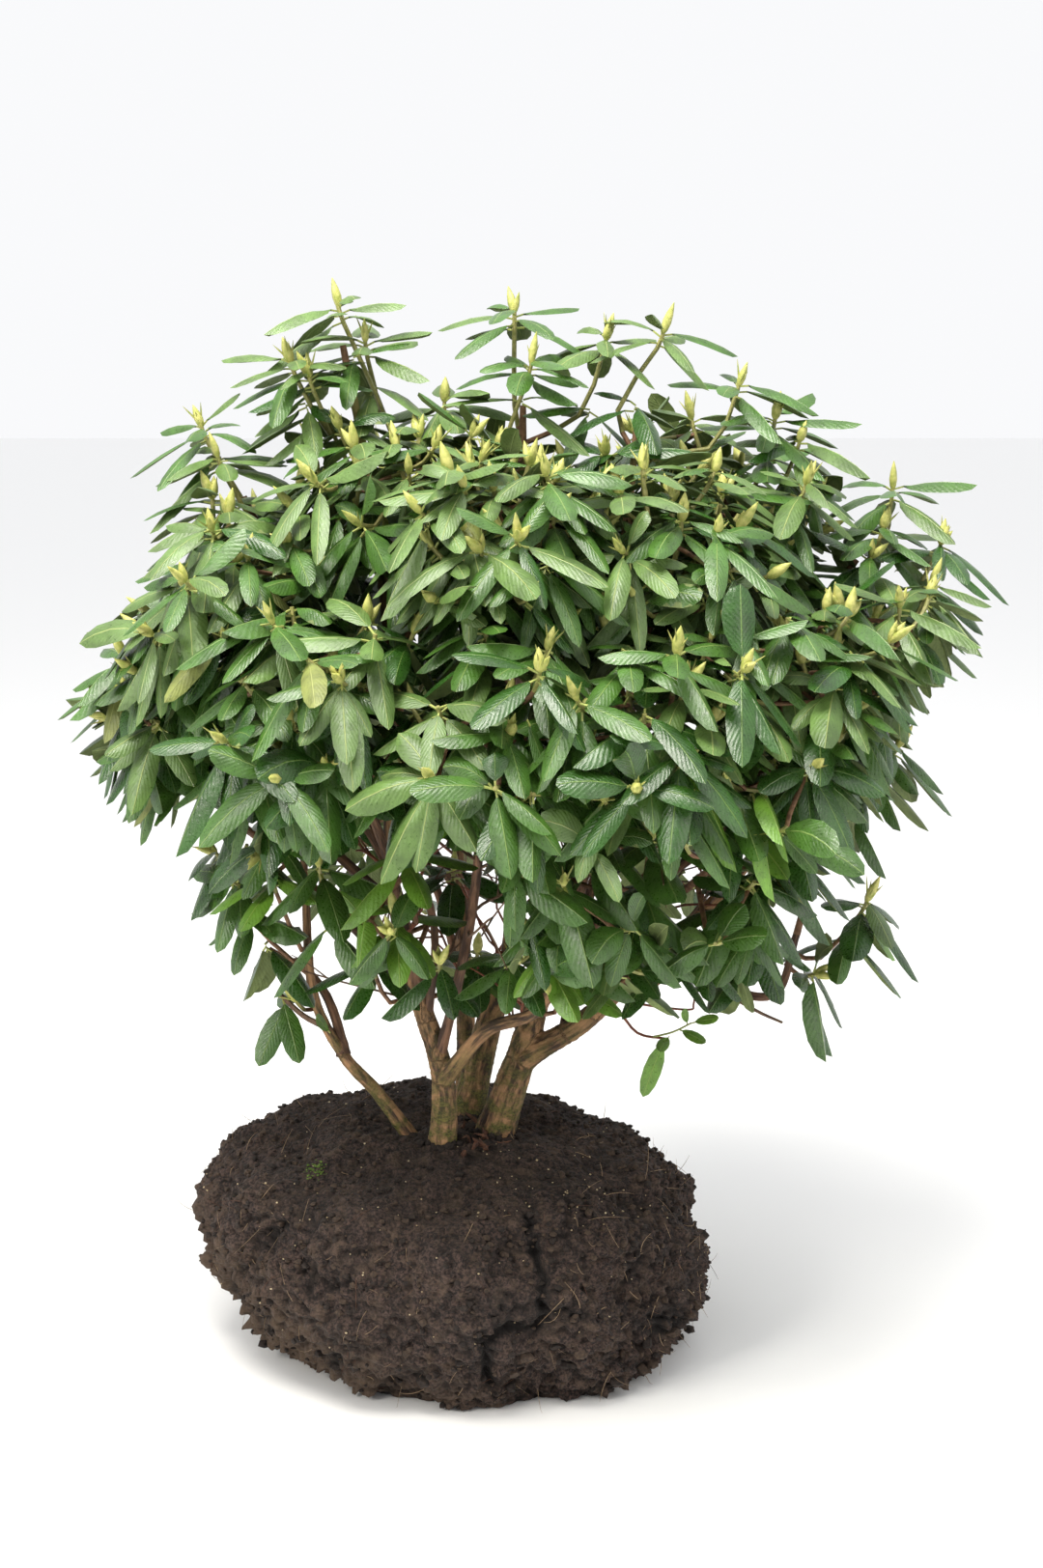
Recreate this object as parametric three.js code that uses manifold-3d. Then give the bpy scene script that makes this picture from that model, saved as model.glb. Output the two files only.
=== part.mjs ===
// A large-leaved rhododendron, lifted from the field with its root ball.
// Millimetres, +Z up. The origin is the centre of the root ball's flat underside,
// +X is to the right and -Y towards whoever looks at the plant's best side.
import * as THREE from "three";
import { mergeVertices } from "three/addons/utils/BufferGeometryUtils.js";
import Module from "manifold-3d";

const wasm = await Module();
wasm.setup();
const { Manifold, Mesh: SolidMesh } = wasm;

// ---------- Driving dimensions ----------

const jointGap = 0.3; // between pieces that touch
const limbClearance = 1.5; // between a leaf or twig and any limb
const spaceMargin = 0.6; // between a mass of foliage and the edge of its space
const goldenAngle = Math.PI * (3 - Math.sqrt(5));
const seedStep = 977; // each mass has its own multiple of it as its seed

const ball = {
  undersideRadius: 320,
  height: 364,
  // radius and height of the side, from the underside's rim to the top
  side: [
    [320, 0],
    [366, 55],
    [408, 150],
    [388, 240],
    [350, 297],
    [262, 330],
    [130, 356],
    [0, 364],
  ],
  roundness: 0.965, // of the plan, which is wider across than from front to back
  widening: 0.04,
  tilt: 0.06, // the left shoulder stands higher than the right one
  footShift: 50, // to the right, of the underside from under the ball's middle
  footFade: 200, // height up to which the side leans over because of it
  lumpDepth: 17,
  lumpRise: 0.6, // share of a lump's depth that also moves the top up or down
  lumpLengths: [110, 240],
  lumpWaves: 9,
  lumpShift: 1.7, // between one wave and the next
  sides: 36,
  rings: 13,
};

const rootFlare = 0.35; // of a stem's radius, that it widens by at the soil
const flareFade = 14; // how fast the flare goes, up the stem
const taperBend = 0.8; // 1 is a straight taper, less keeps a limb thick for longer
const boughTip = 6; // radius of every limb's tip, and of the stem that goes on from it
const stemSides = 6;
const boughSides = 5;
const stepsPerBend = 2; // rings of a stem, for each point that its line goes through
const boughSteps = 3;
const boughCurve = 0.4; // of a bough's span, over which its end turns up
const crownCore = [120, 20, 930]; // where the crown's directions spread from
const crownLift = 0.8; // how far the limbs' ends turn up from those directions

// Stems and main limbs rise from the soil, boughs from another limb at a share of its line.
// thick is the diameter at the foot. heart is the middle of the foliage that a limb ends in,
// and reach is how far that foliage's shoots go from the limb's tip.
const limbs = {
  front_stem: {
    foot: [-11, -100, 325],
    via: [[-8, -100, 470], [-48, -98, 620], [-88, -92, 850]],
    thick: 43, heart: [-70, -130, 1400], reach: 215,
  },
  middle_stem: {
    foot: [20, 48, 325],
    via: [[62, 70, 500], [104, 82, 640], [116, 82, 950]],
    thick: 52, heart: [120, 60, 1565], reach: 200,
  },
  right_stem: {
    foot: [66, -32, 325],
    via: [[116, -32, 478], [150, -18, 590], [238, -10, 900]],
    thick: 58, heart: [310, 0, 1552], reach: 200,
  },
  left_stem: {
    foot: [-48, -62, 332],
    via: [[-112, -62, 424], [-170, -58, 492], [-219, -40, 593]],
    thick: 25, heart: [-300, -60, 840], reach: 170,
  },
  back_stem: {
    foot: [24, 112, 325],
    via: [[22, 150, 520], [10, 195, 760]],
    thick: 36, heart: [-30, 290, 1320], reach: 240,
  },
  right_limb: {
    from: "right_stem", at: 0.25,
    via: [[216, -50, 545], [300, -60, 630], [425, -45, 745]],
    thick: 40, heart: [640, 20, 950], reach: 220,
  },
  front_limb: {
    from: "front_stem", at: 0.24,
    via: [[62, -160, 566], [140, -215, 616], [180, -290, 720]],
    thick: 24, heart: [190, -380, 890], reach: 190,
  },

  // boughs of the left side
  spire_bough: { from: "front_stem", at: 0.86, thick: 17, heart: [-165, 0, 1648], reach: 155 },
  top_left_bough: { from: "front_stem", at: 0.79, thick: 16, heart: [-335, 30, 1420], reach: 195 },
  high_left_bough: {
    from: "front_stem", at: 0.72, thick: 16, heart: [-340, -150, 1260], reach: 195,
  },
  far_left_bough: { from: "front_stem", at: 0.66, thick: 17, heart: [-435, -50, 1090], reach: 200 },
  low_left_bough: { from: "front_stem", at: 0.47, thick: 17, heart: [-430, 120, 900], reach: 200 },
  bottom_left_bough: { from: "left_stem", at: 0.5, thick: 16, heart: [-325, 0, 650], reach: 135 },

  // boughs of the right side
  top_right_bough: { from: "right_stem", at: 0.8, thick: 17, heart: [490, 100, 1420], reach: 200 },
  high_right_bough: { from: "right_stem", at: 0.7, thick: 18, heart: [670, 60, 1320], reach: 205 },
  far_right_bough: { from: "right_stem", at: 0.58, thick: 19, heart: [690, -130, 1130], reach: 220 },
  low_right_bough: {
    from: "right_limb", at: 0.5,
    via: [[368, -64, 648], [430, -64, 610], [525, -60, 596]],
    thick: 18, heart: [640, -60, 730], reach: 180,
  },

  // boughs towards the front
  high_front_bough: {
    from: "middle_stem", at: 0.8, thick: 16, heart: [110, -270, 1370], reach: 210,
  },
  high_front_right_bough: {
    from: "right_stem", at: 0.88, thick: 16, heart: [340, -250, 1330], reach: 210,
  },
  front_left_bough: {
    from: "front_stem", at: 0.5, thick: 17, heart: [-200, -330, 1130], reach: 215,
  },
  front_middle_bough: {
    from: "front_stem", at: 0.31, thick: 17, heart: [40, -430, 1115], reach: 195,
  },
  front_right_bough: { from: "right_stem", at: 0.45, thick: 18, heart: [290, -440, 1110], reach: 210 },
  front_far_right_bough: {
    from: "right_stem", at: 0.52, thick: 17, heart: [520, -330, 1130], reach: 205,
  },
  low_front_left_bough: {
    from: "front_stem", at: 0.42, thick: 13, heart: [-90, -270, 870], reach: 160,
  },
  low_front_right_bough: {
    from: "right_limb", at: 0.3, thick: 15, heart: [425, -290, 870], reach: 200,
  },

  // boughs towards the back
  back_left_bough: { from: "back_stem", at: 0.6, thick: 17, heart: [-250, 340, 1120], reach: 225 },
  back_right_bough: { from: "middle_stem", at: 0.6, thick: 18, heart: [310, 360, 1240], reach: 235 },
  low_back_left_bough: {
    from: "back_stem", at: 0.3, thick: 16, heart: [-130, 400, 830], reach: 220,
  },
  low_back_right_bough: {
    from: "right_limb", at: 0.18, thick: 17, heart: [340, 390, 870], reach: 230,
  },
};

const foliage = {
  shootSpacing: 42, // of a mass's reach, for each of its shoots
  bulge: 0.3, // of the reach, how far the middle shoot's tip lies in front of the heart
  spread: 0.74, // of the reach, how far the outermost tips lie from the heart
  unevenness: 0.24, // between the shortest and the longest shoot or leaf
  stemShare: 0.3, // of the reach, that the mass's stem goes on for
  stemTaper: 0.8, // that its radius loses
  firstFork: 0.97, // of the mass's stem, where its middle shoot starts
  lastFork: 0.2, // where its outermost shoot starts
  twigSides: 3,
  twigBase: 3, // radius inside the mass's stem
  twigRadius: 5,
  twigTip: 4.6,
  twigBend: 0.55, // of the way from fork to tip
  twigSag: 0.12, // of that way
  twigSwing: 0.7, // radians that a shoot may turn from its even place
  shootLift: 0.5, // how far a shoot's tip turns up
  leaves: 4, // round each shoot
  leafStart: 3, // down the shoot from its tip
  leafStep: 4, // down the shoot from one leaf to the next
  leafSunk: 1.6, // how far a leaf's foot lies beyond the shoot's middle
  leafLength: 150,
  leafWidth: 66,
  leafThickness: 6, // at the ridge, from which both halves fall away
  leafAngle: [1.15, 1.55], // radians from the shoot, of the steepest and the flattest leaf
  leafHang: [0.18, 0.42], // how far a leaf's foot already points down
  leafArch: 0.5, // how far it bends down from there to its tip
  budLength: 42,
  budWidth: 18,
  budBelly: 0.36, // of the bud's length, height of its widest part
};

// A shoot or leaf that has no room is tried again, turned further and made shorter each time
const retry = {
  times: 7,
  shootTurn: 0.25,
  shootShorter: 0.06,
  leafTurn: 0.16,
  leafShorter: 0.05,
};

const finishes = {
  soil: { color: 0x2b211c, roughness: 0.95 },
  bark: { color: 0x6b5138, roughness: 0.85 },
  foliage: { color: 0x3f6b3a, roughness: 0.4 },
};

// ---------- Small tools ----------

const up = new THREE.Vector3(0, 0, 1);
const point = ([x, y, z]) => new THREE.Vector3(x, y, z);
const mix = ([from, to], share) => from + (to - from) * share;
const uneven = (chance) => 1 + foliage.unevenness * (chance - 0.5);

// The same seed always gives the same row of numbers from 0 to 1
function seededRandom(seed) {
  let state = seed >>> 0;
  return () => {
    state = (Math.imul(state, 1664525) + 1013904223) >>> 0;
    return state / 4294967296;
  };
}

function toSolid(geometry) {
  const bare = new THREE.BufferGeometry();
  bare.setAttribute("position", geometry.getAttribute("position"));
  bare.setIndex(geometry.getIndex());
  const merged = mergeVertices(bare, 1e-3);
  return new Manifold(
    new SolidMesh({
      numProp: 3,
      vertProperties: merged.attributes.position.array,
      triVerts: new Uint32Array(merged.index.array),
    }),
  );
}

function toGeometry(solid) {
  const mesh = solid.getMesh();
  const geometry = new THREE.BufferGeometry();
  geometry.setAttribute("position", new THREE.BufferAttribute(mesh.vertProperties, 3));
  geometry.setIndex(new THREE.BufferAttribute(mesh.triVerts, 1));
  geometry.computeVertexNormals();
  return geometry;
}

// The largest closed piece of a cut solid; loose scraps are dropped
function largestPiece(solid) {
  return solid.decompose().sort((a, b) => b.volume() - a.volume())[0];
}

// Moves every corner of a geometry by a rule
function reshape(geometry, rule) {
  const position = geometry.getAttribute("position");
  const corner = new THREE.Vector3();
  for (let i = 0; i < position.count; i += 1) {
    corner.fromBufferAttribute(position, i);
    const moved = rule(corner);
    position.setXYZ(i, moved.x, moved.y, moved.z);
  }
  return geometry;
}

// ---------- Root ball ----------

// Soft lumps from a few crossing waves, from -1 to 1
function lump(place) {
  let sum = 0;
  for (let i = 0; i < ball.lumpWaves; i += 1) {
    const turn = i * goldenAngle;
    const rise = 1 - (2 * (i + 0.5)) / ball.lumpWaves;
    const level = Math.sqrt(1 - rise * rise);
    const along =
      place.x * Math.cos(turn) * level + place.y * Math.sin(turn) * level + place.z * rise;
    const wave = mix(ball.lumpLengths, i / ball.lumpWaves);
    sum += Math.sin((2 * Math.PI * along) / wave + ball.lumpShift * i);
  }
  return sum / Math.sqrt(2 * ball.lumpWaves);
}

// A point on the smooth ball, pushed out or in by its lumps; the underside stays flat
function lumpy(place) {
  const out = Math.hypot(place.x, place.y);
  const turn = Math.atan2(place.y, place.x);
  const plan = ball.roundness + ball.widening * Math.cos(2 * turn);
  const push = ball.lumpDepth * lump(place);
  const scale = plan + (push / ball.undersideRadius) * Math.min(1, out / ball.undersideRadius);
  const lean = 1 - (ball.tilt * place.x) / ball.undersideRadius;
  const rise = ball.lumpRise * push * (place.z / ball.height);
  const shift = ball.footShift * Math.max(0, 1 - place.z / ball.footFade);
  return new THREE.Vector3(place.x * scale + shift, place.y * scale, place.z * lean + rise);
}

function rootBall(grow = 0) {
  const side = new THREE.SplineCurve(ball.side.map(([r, z]) => new THREE.Vector2(r, z)));
  const rim = side.getPoints(ball.rings).map((p) => new THREE.Vector2(p.x + grow, p.y + grow));
  rim[0].y = -grow;
  rim[ball.rings].x = 0;
  const geometry = new THREE.LatheGeometry([new THREE.Vector2(0, -grow), ...rim], ball.sides);
  geometry.rotateX(Math.PI / 2);
  return toSolid(reshape(geometry, lumpy));
}

// ---------- Limbs ----------

const facing = (heart) => point(heart).sub(point(crownCore)).normalize();

const outwards = (heart) => facing(heart).addScaledVector(up, crownLift).normalize();

const tipOf = (limb) =>
  point(limb.heart).addScaledVector(outwards(limb.heart), -0.5 * limb.reach);

const smoothLine = (points) => new THREE.CatmullRomCurve3(points, false, "catmullrom", 0.5);

// The line down the middle of a limb
function limbLine(limb) {
  const tip = tipOf(limb);
  const start = limb.foot ? point(limb.foot) : limbLine(limbs[limb.from]).getPoint(limb.at);
  if (limb.via) return smoothLine([start, ...limb.via.map(point), tip]);
  const span = start.distanceTo(tip);
  const bend = tip.clone().addScaledVector(outwards(limb.heart), -boughCurve * span);
  return new THREE.QuadraticBezierCurve3(start, bend, tip);
}

const ringsAlong = (line, radiusAt, steps) =>
  Array.from({ length: steps + 1 }, (_, i) => ({
    at: line.getPoint(i / steps),
    radius: radiusAt(i / steps),
  }));

// Bends a closed cylinder through a row of rings, or a cone if the last ring is a point
function tube(rings, sides) {
  const last = rings.length - 1;
  const side = new THREE.Vector3().crossVectors(rings[last].at.clone().sub(rings[0].at), up);
  if (side.length() < 0.05 * rings[last].at.distanceTo(rings[0].at)) side.set(1, 0, 0);
  side.normalize();
  const top = rings[last].radius > 0 ? 1 : 0;
  return toSolid(
    reshape(new THREE.CylinderGeometry(top, 1, 1, sides, last), (corner) => {
      const i = Math.round((corner.y + 0.5) * last);
      const out = rings[i].radius / (Math.hypot(corner.x, corner.z) || 1);
      const before = rings[Math.max(0, i - 1)].at;
      const forward = rings[Math.min(last, i + 1)].at.clone().sub(before).normalize();
      const across = side.clone().addScaledVector(forward, -side.dot(forward)).normalize();
      const other = new THREE.Vector3().crossVectors(across, forward);
      return rings[i].at
        .clone()
        .addScaledVector(across, corner.x * out)
        .addScaledVector(other, corner.z * out);
    }),
  );
}

function limbRings(limb, grow = 0) {
  const foot = limb.thick / 2;
  const flare = limb.foot ? rootFlare * foot : 0;
  const radiusAt = (share) =>
    boughTip +
    (foot - boughTip) * (1 - share) ** taperBend +
    flare * Math.exp(-share * flareFade) +
    grow;
  const steps = limb.via ? stepsPerBend * (limb.via.length + 1) : boughSteps;
  return ringsAlong(limbLine(limb), radiusAt, steps);
}

const limbSolid = (limb, grow) => tube(limbRings(limb, grow), limb.via ? stemSides : boughSides);

function makeLimbs(ballSolid) {
  const made = {};
  const names = Object.keys(limbs);
  names.forEach((name, i) => {
    let solid = limbSolid(limbs[name]).subtract(ballSolid);
    names.slice(0, i).forEach((earlier) => {
      solid = solid.subtract(limbSolid(limbs[earlier], jointGap));
    });
    made[name] = largestPiece(solid);
  });
  return made;
}

// ---------- Foliage ----------

const hearts = Object.fromEntries(
  Object.entries(limbs).map(([name, limb]) => [name, point(limb.heart)]),
);

// A mass keeps to the points that lie nearer to its own heart than to any other
function inSpace(name, corners) {
  const own = hearts[name];
  return Object.entries(hearts).every(([other, heart]) => {
    if (other === name) return true;
    const apart = heart.distanceTo(own);
    return corners.every(
      (c) => (c.distanceToSquared(heart) - c.distanceToSquared(own)) / (2 * apart) > spaceMargin,
    );
  });
}

function cornersOf(geometry) {
  const position = geometry.getAttribute("position");
  return Array.from({ length: position.count }, (_, i) =>
    new THREE.Vector3().fromBufferAttribute(position, i),
  );
}

// An arched leaf with a ridge along its upper face, bent from a three-sided spindle
function leafGeometry(foot, heading, length) {
  const across = new THREE.Vector3().crossVectors(up, heading).normalize();
  return reshape(new THREE.SphereGeometry(1, 3, 2), (corner) => {
    const share = (1 - corner.y) / 2;
    const forward = heading.clone().addScaledVector(up, -foliage.leafArch * share).normalize();
    const face = new THREE.Vector3().crossVectors(forward, across);
    const ridge = Math.max(0, -corner.x) * foliage.leafThickness;
    return foot
      .clone()
      .addScaledVector(heading, length * share)
      .addScaledVector(up, -0.5 * length * foliage.leafArch * share * share)
      .addScaledVector(across, (corner.z / Math.sqrt(3)) * foliage.leafWidth)
      .addScaledVector(face, ridge);
  });
}

// Direction at an angle from an axis, turned round it
function directionFrom(axis, angle, turn) {
  const side = new THREE.Vector3().crossVectors(axis, up);
  if (side.length() < 0.05) side.set(1, 0, 0);
  side.normalize();
  const other = new THREE.Vector3().crossVectors(axis, side);
  return axis
    .clone()
    .multiplyScalar(Math.cos(angle))
    .addScaledVector(side, Math.sin(angle) * Math.cos(turn))
    .addScaledVector(other, Math.sin(angle) * Math.sin(turn));
}

// One shoot of a mass, from the mass's stem to the bud at its end. The tips lie side by side
// over the mass, the first one in front of its heart and the others further round it.
function makeShoot(limb, stemLine, share, turn, length) {
  const front = facing(limb.heart);
  const round = directionFrom(front, Math.PI / 2, turn);
  const tip = point(limb.heart)
    .addScaledVector(front, foliage.bulge * limb.reach * (1 - share) * length)
    .addScaledVector(round, foliage.spread * limb.reach * Math.sqrt(share) * length);
  const start = stemLine.getPoint(mix([foliage.firstFork, foliage.lastFork], share));
  const sag = foliage.twigSag * start.distanceTo(tip);
  const bend = start.clone().lerp(tip, foliage.twigBend).addScaledVector(up, -sag);
  const axis = tip.clone().sub(bend).normalize().addScaledVector(up, foliage.shootLift).normalize();
  const along = (distance) => tip.clone().addScaledVector(axis, distance);
  const rings = [
    { at: start, radius: foliage.twigBase },
    { at: bend, radius: foliage.twigRadius },
    { at: tip, radius: foliage.twigTip },
    { at: along(foliage.budLength * foliage.budBelly), radius: foliage.budWidth / 2 },
    { at: along(foliage.budLength), radius: 0 },
  ];
  return { solid: tube(rings, foliage.twigSides), bend, tip, axis };
}

// Calls attempt until it returns something, with a turn to either side and a shorter length
function firstFree(turn, shorter, attempt) {
  for (let i = 0; i < retry.times; i += 1) {
    const found = attempt(i % 2 ? turn * i : -turn * i, 1 - shorter * i);
    if (found) return found;
  }
  return null;
}

function makeFoliage(name, index, limbsGrown) {
  const limb = limbs[name];
  const random = seededRandom(seedStep * (index + 1));
  const [before, end] = limbRings(limb).slice(-2);
  const forward = end.at.clone().sub(before.at).normalize();
  const foot = end.at.clone().addScaledVector(forward, jointGap);
  const stemEnd = foot.clone().addScaledVector(forward, foliage.stemShare * limb.reach);
  const stemLine = new THREE.LineCurve3(foot, stemEnd);
  const stemRadiusAt = (share) => boughTip - foliage.stemTaper * share;
  const stem = tube(ringsAlong(stemLine, stemRadiusAt, 1), boughSides);
  const allShoots = [];
  const allLeaves = [];
  const isFree = (solid, others) =>
    inSpace(name, cornersOf(toGeometry(solid))) &&
    [limbsGrown, ...others].every((other) => solid.intersect(other).isEmpty());

  const shootCount = Math.round(limb.reach / foliage.shootSpacing);
  for (let i = 0; i < shootCount; i += 1) {
    const share = (i + 0.2) / shootCount;
    const turn = i * goldenAngle + foliage.twigSwing * random();
    const length = uneven(random());
    const leafTurn = random() * 2 * Math.PI;
    const swings = Array.from({ length: foliage.leaves }, () => [random(), random(), random()]);
    const shoot = firstFree(retry.shootTurn, retry.shootShorter, (swing, shorter) => {
      const found = makeShoot(limb, stemLine, share, turn + swing, length * shorter);
      return isFree(found.solid, allLeaves) ? found : null;
    });
    if (!shoot) continue;
    const others = [...allShoots, ...allLeaves];
    swings.forEach(([a, b, c], k) => {
      const ownTurn = leafTurn + ((k + 0.5 * a) * 2 * Math.PI) / foliage.leaves;
      const back = foliage.leafStart + foliage.leafStep * k;
      const root = shoot.tip.clone().lerp(shoot.bend, back / shoot.tip.distanceTo(shoot.bend));
      const leaf = firstFree(retry.leafTurn, retry.leafShorter, (swing, shorter) => {
        const heading = directionFrom(shoot.axis, mix(foliage.leafAngle, b), ownTurn + swing);
        heading.addScaledVector(up, -mix(foliage.leafHang, c)).normalize();
        const sunk = root.clone().addScaledVector(heading, -foliage.leafSunk);
        const long = foliage.leafLength * uneven(a) * shorter;
        const solid = toSolid(leafGeometry(sunk, heading, long));
        return isFree(solid, others) ? solid : null;
      });
      if (!leaf) return;
      allLeaves.push(leaf);
      others.push(leaf);
    });
    allShoots.push(shoot.solid);
  }
  return largestPiece(Manifold.union([stem, ...allShoots, ...allLeaves]));
}

// ---------- The plant ----------

const plant = new THREE.Group();

function addPiece(name, solid, finish) {
  const mesh = new THREE.Mesh(toGeometry(solid), new THREE.MeshStandardMaterial(finish));
  mesh.name = name;
  plant.add(mesh);
}

addPiece("root_ball", rootBall(), finishes.soil);
const limbSolids = makeLimbs(rootBall(jointGap));
Object.entries(limbSolids).forEach(([name, solid]) => addPiece(name, solid, finishes.bark));
const limbsGrown = Manifold.union(
  Object.values(limbs).map((limb) => limbSolid(limb, limbClearance)),
);
Object.keys(limbs).forEach((name, i) => {
  const massName = `${name.replace(/_bough$/, "")}_foliage`;
  addPiece(massName, makeFoliage(name, i, limbsGrown), finishes.foliage);
});

export default plant;
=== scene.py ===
import bpy
import math
import numpy as np
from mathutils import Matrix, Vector, kdtree, noise


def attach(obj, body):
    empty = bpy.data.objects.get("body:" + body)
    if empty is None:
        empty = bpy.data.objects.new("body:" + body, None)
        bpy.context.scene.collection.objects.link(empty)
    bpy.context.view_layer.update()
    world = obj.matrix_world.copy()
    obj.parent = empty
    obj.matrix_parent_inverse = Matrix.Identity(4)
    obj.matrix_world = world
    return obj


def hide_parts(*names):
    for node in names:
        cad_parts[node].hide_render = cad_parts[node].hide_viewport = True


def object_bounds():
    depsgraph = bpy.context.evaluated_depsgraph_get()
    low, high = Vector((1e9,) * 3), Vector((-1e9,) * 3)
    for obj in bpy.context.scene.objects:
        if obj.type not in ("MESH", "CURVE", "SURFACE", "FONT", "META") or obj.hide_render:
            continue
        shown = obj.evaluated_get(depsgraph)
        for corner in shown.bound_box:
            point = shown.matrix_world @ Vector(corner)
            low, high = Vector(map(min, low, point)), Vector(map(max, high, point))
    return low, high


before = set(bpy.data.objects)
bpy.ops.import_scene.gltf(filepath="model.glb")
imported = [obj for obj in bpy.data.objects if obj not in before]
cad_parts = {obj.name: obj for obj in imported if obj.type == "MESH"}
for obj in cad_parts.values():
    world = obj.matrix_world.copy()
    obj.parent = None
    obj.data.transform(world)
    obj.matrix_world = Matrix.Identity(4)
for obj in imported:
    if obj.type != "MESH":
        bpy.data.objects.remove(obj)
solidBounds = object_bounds()
bpy.ops.object.select_all(action="DESELECT")


up = Vector((0, 0, 1))
goldenAngle = math.pi * (3 - math.sqrt(5))
noise.seed_set(7)  # noise_vector would start from another seed in every run


# ---- shader nodes: their inputs are numbers, colours or other nodes' outputs ----
def setInputs(node, inputs):
    for name, value in dict(inputs).items():
        socket = node.inputs[name]
        if isinstance(value, bpy.types.NodeSocket):
            node.id_data.links.new(value, socket)
        else:
            socket.default_value = (*value, 1) if socket.type == "RGBA" else value
    return node


def addNode(tree, kind, inputs=(), **settings):
    node = tree.nodes.new("ShaderNode" + kind)
    node.location = (190 * len(tree.nodes) - 2000, 0)
    for name, value in settings.items():
        setattr(node, name, value)
    return setInputs(node, inputs)


def maths(tree, operation, *values):
    return addNode(tree, "Math", enumerate(values), operation=operation).outputs[0]


# how far a value lies from low to high, as a number from least to most
def ramp(tree, value, low, high, least=0, most=1):
    names = ("Value", "From Min", "From Max", "To Min", "To Max")
    return addNode(tree, "MapRange", zip(names, (value, low, high, least, most))).outputs["Result"]


def blend(tree, share, first, second, **settings):
    given = {"Factor": share, "A": first, "B": second}
    return addNode(tree, "Mix", given, data_type="RGBA", **settings).outputs["Result"]


def newMaterial(name):
    material = bpy.data.materials.new(name)
    material.use_nodes = True
    return material, material.node_tree, material.node_tree.nodes["Principled BSDF"]


# camera, floor and lamps
studio = {
    "eye": (0.118, -3.42, 1.645),
    "lookDown": 11.84,  # degrees
    "lens": 50,
    "floorSide": 60,
    "floorColour": (0.965, 0.965, 0.96),
    "skyColour": (0.98, 0.985, 1.0),
    "skyStrength": 0.97,
    "frontDim": 0.4,  # the sky's light from the side of the camera
    "above": 1.12,  # and from overhead
    "lampColour": (1, 0.965, 0.89),
    # place, side length and power of each lamp; all of them aim at the crown
    "lamps": {
        "overhead": {"at": (-0.4, -1.2, 4.2), "side": 1.9, "power": 200},
        "left": {"at": (-3.2, -3.0, 3.0), "side": 1.4, "power": 105},
        "right": {"at": (3.4, -2.6, 2.4), "side": 2.2, "power": 35},
    },
    "aim": (0.1, 0, 0.9),
}


def setStudio():
    turned = (math.radians(90 - studio["lookDown"]), 0, 0)
    bpy.ops.object.camera_add(location=studio["eye"], rotation=turned)
    camera = bpy.context.object
    camera.data.lens, camera.data.sensor_width = studio["lens"], 36
    bpy.context.scene.camera = camera
    bpy.context.scene.view_settings.view_transform = "Standard"

    bpy.ops.mesh.primitive_plane_add(size=studio["floorSide"], location=(0, 0, -0.001))
    floor = bpy.context.object
    floor.name = "floor"
    paint, _, shader = newMaterial("floorPaint")
    setInputs(shader, {"Base Color": studio["floorColour"], "Roughness": 0.6})
    floor.data.materials.append(paint)

    for name, lamp in studio["lamps"].items():
        turned = (Vector(studio["aim"]) - Vector(lamp["at"])).to_track_quat("-Z", "Y").to_euler()
        bpy.ops.object.light_add(type="AREA", location=lamp["at"], rotation=turned)
        bpy.context.object.name = name
        light = bpy.context.object.data
        light.size, light.energy, light.color = lamp["side"], lamp["power"], studio["lampColour"]

    # plain and pale where it is seen; its light is weaker from the front, stronger from above
    world = bpy.data.worlds.new("sky")
    world.use_nodes = True
    tree = world.node_tree
    way = addNode(tree, "TexCoord").outputs["Generated"]
    parts = addNode(tree, "SeparateXYZ", {0: way}).outputs
    front = ramp(tree, parts["Y"], -0.3, 0.5, studio["frontDim"], 1)
    above = ramp(tree, parts["Z"], 0.2, 0.8, 0, studio["above"])
    seen = addNode(tree, "LightPath").outputs["Is Camera Ray"]
    light = {"Factor": seen, "A": maths(tree, "MAXIMUM", above, front), "B": studio["skyStrength"]}
    strength = addNode(tree, "Mix", light).outputs["Result"]
    setInputs(tree.nodes["Background"], {"Color": studio["skyColour"], "Strength": strength})
    bpy.context.scene.world = world


setStudio()
print("camera, floor and lamps set")


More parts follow.
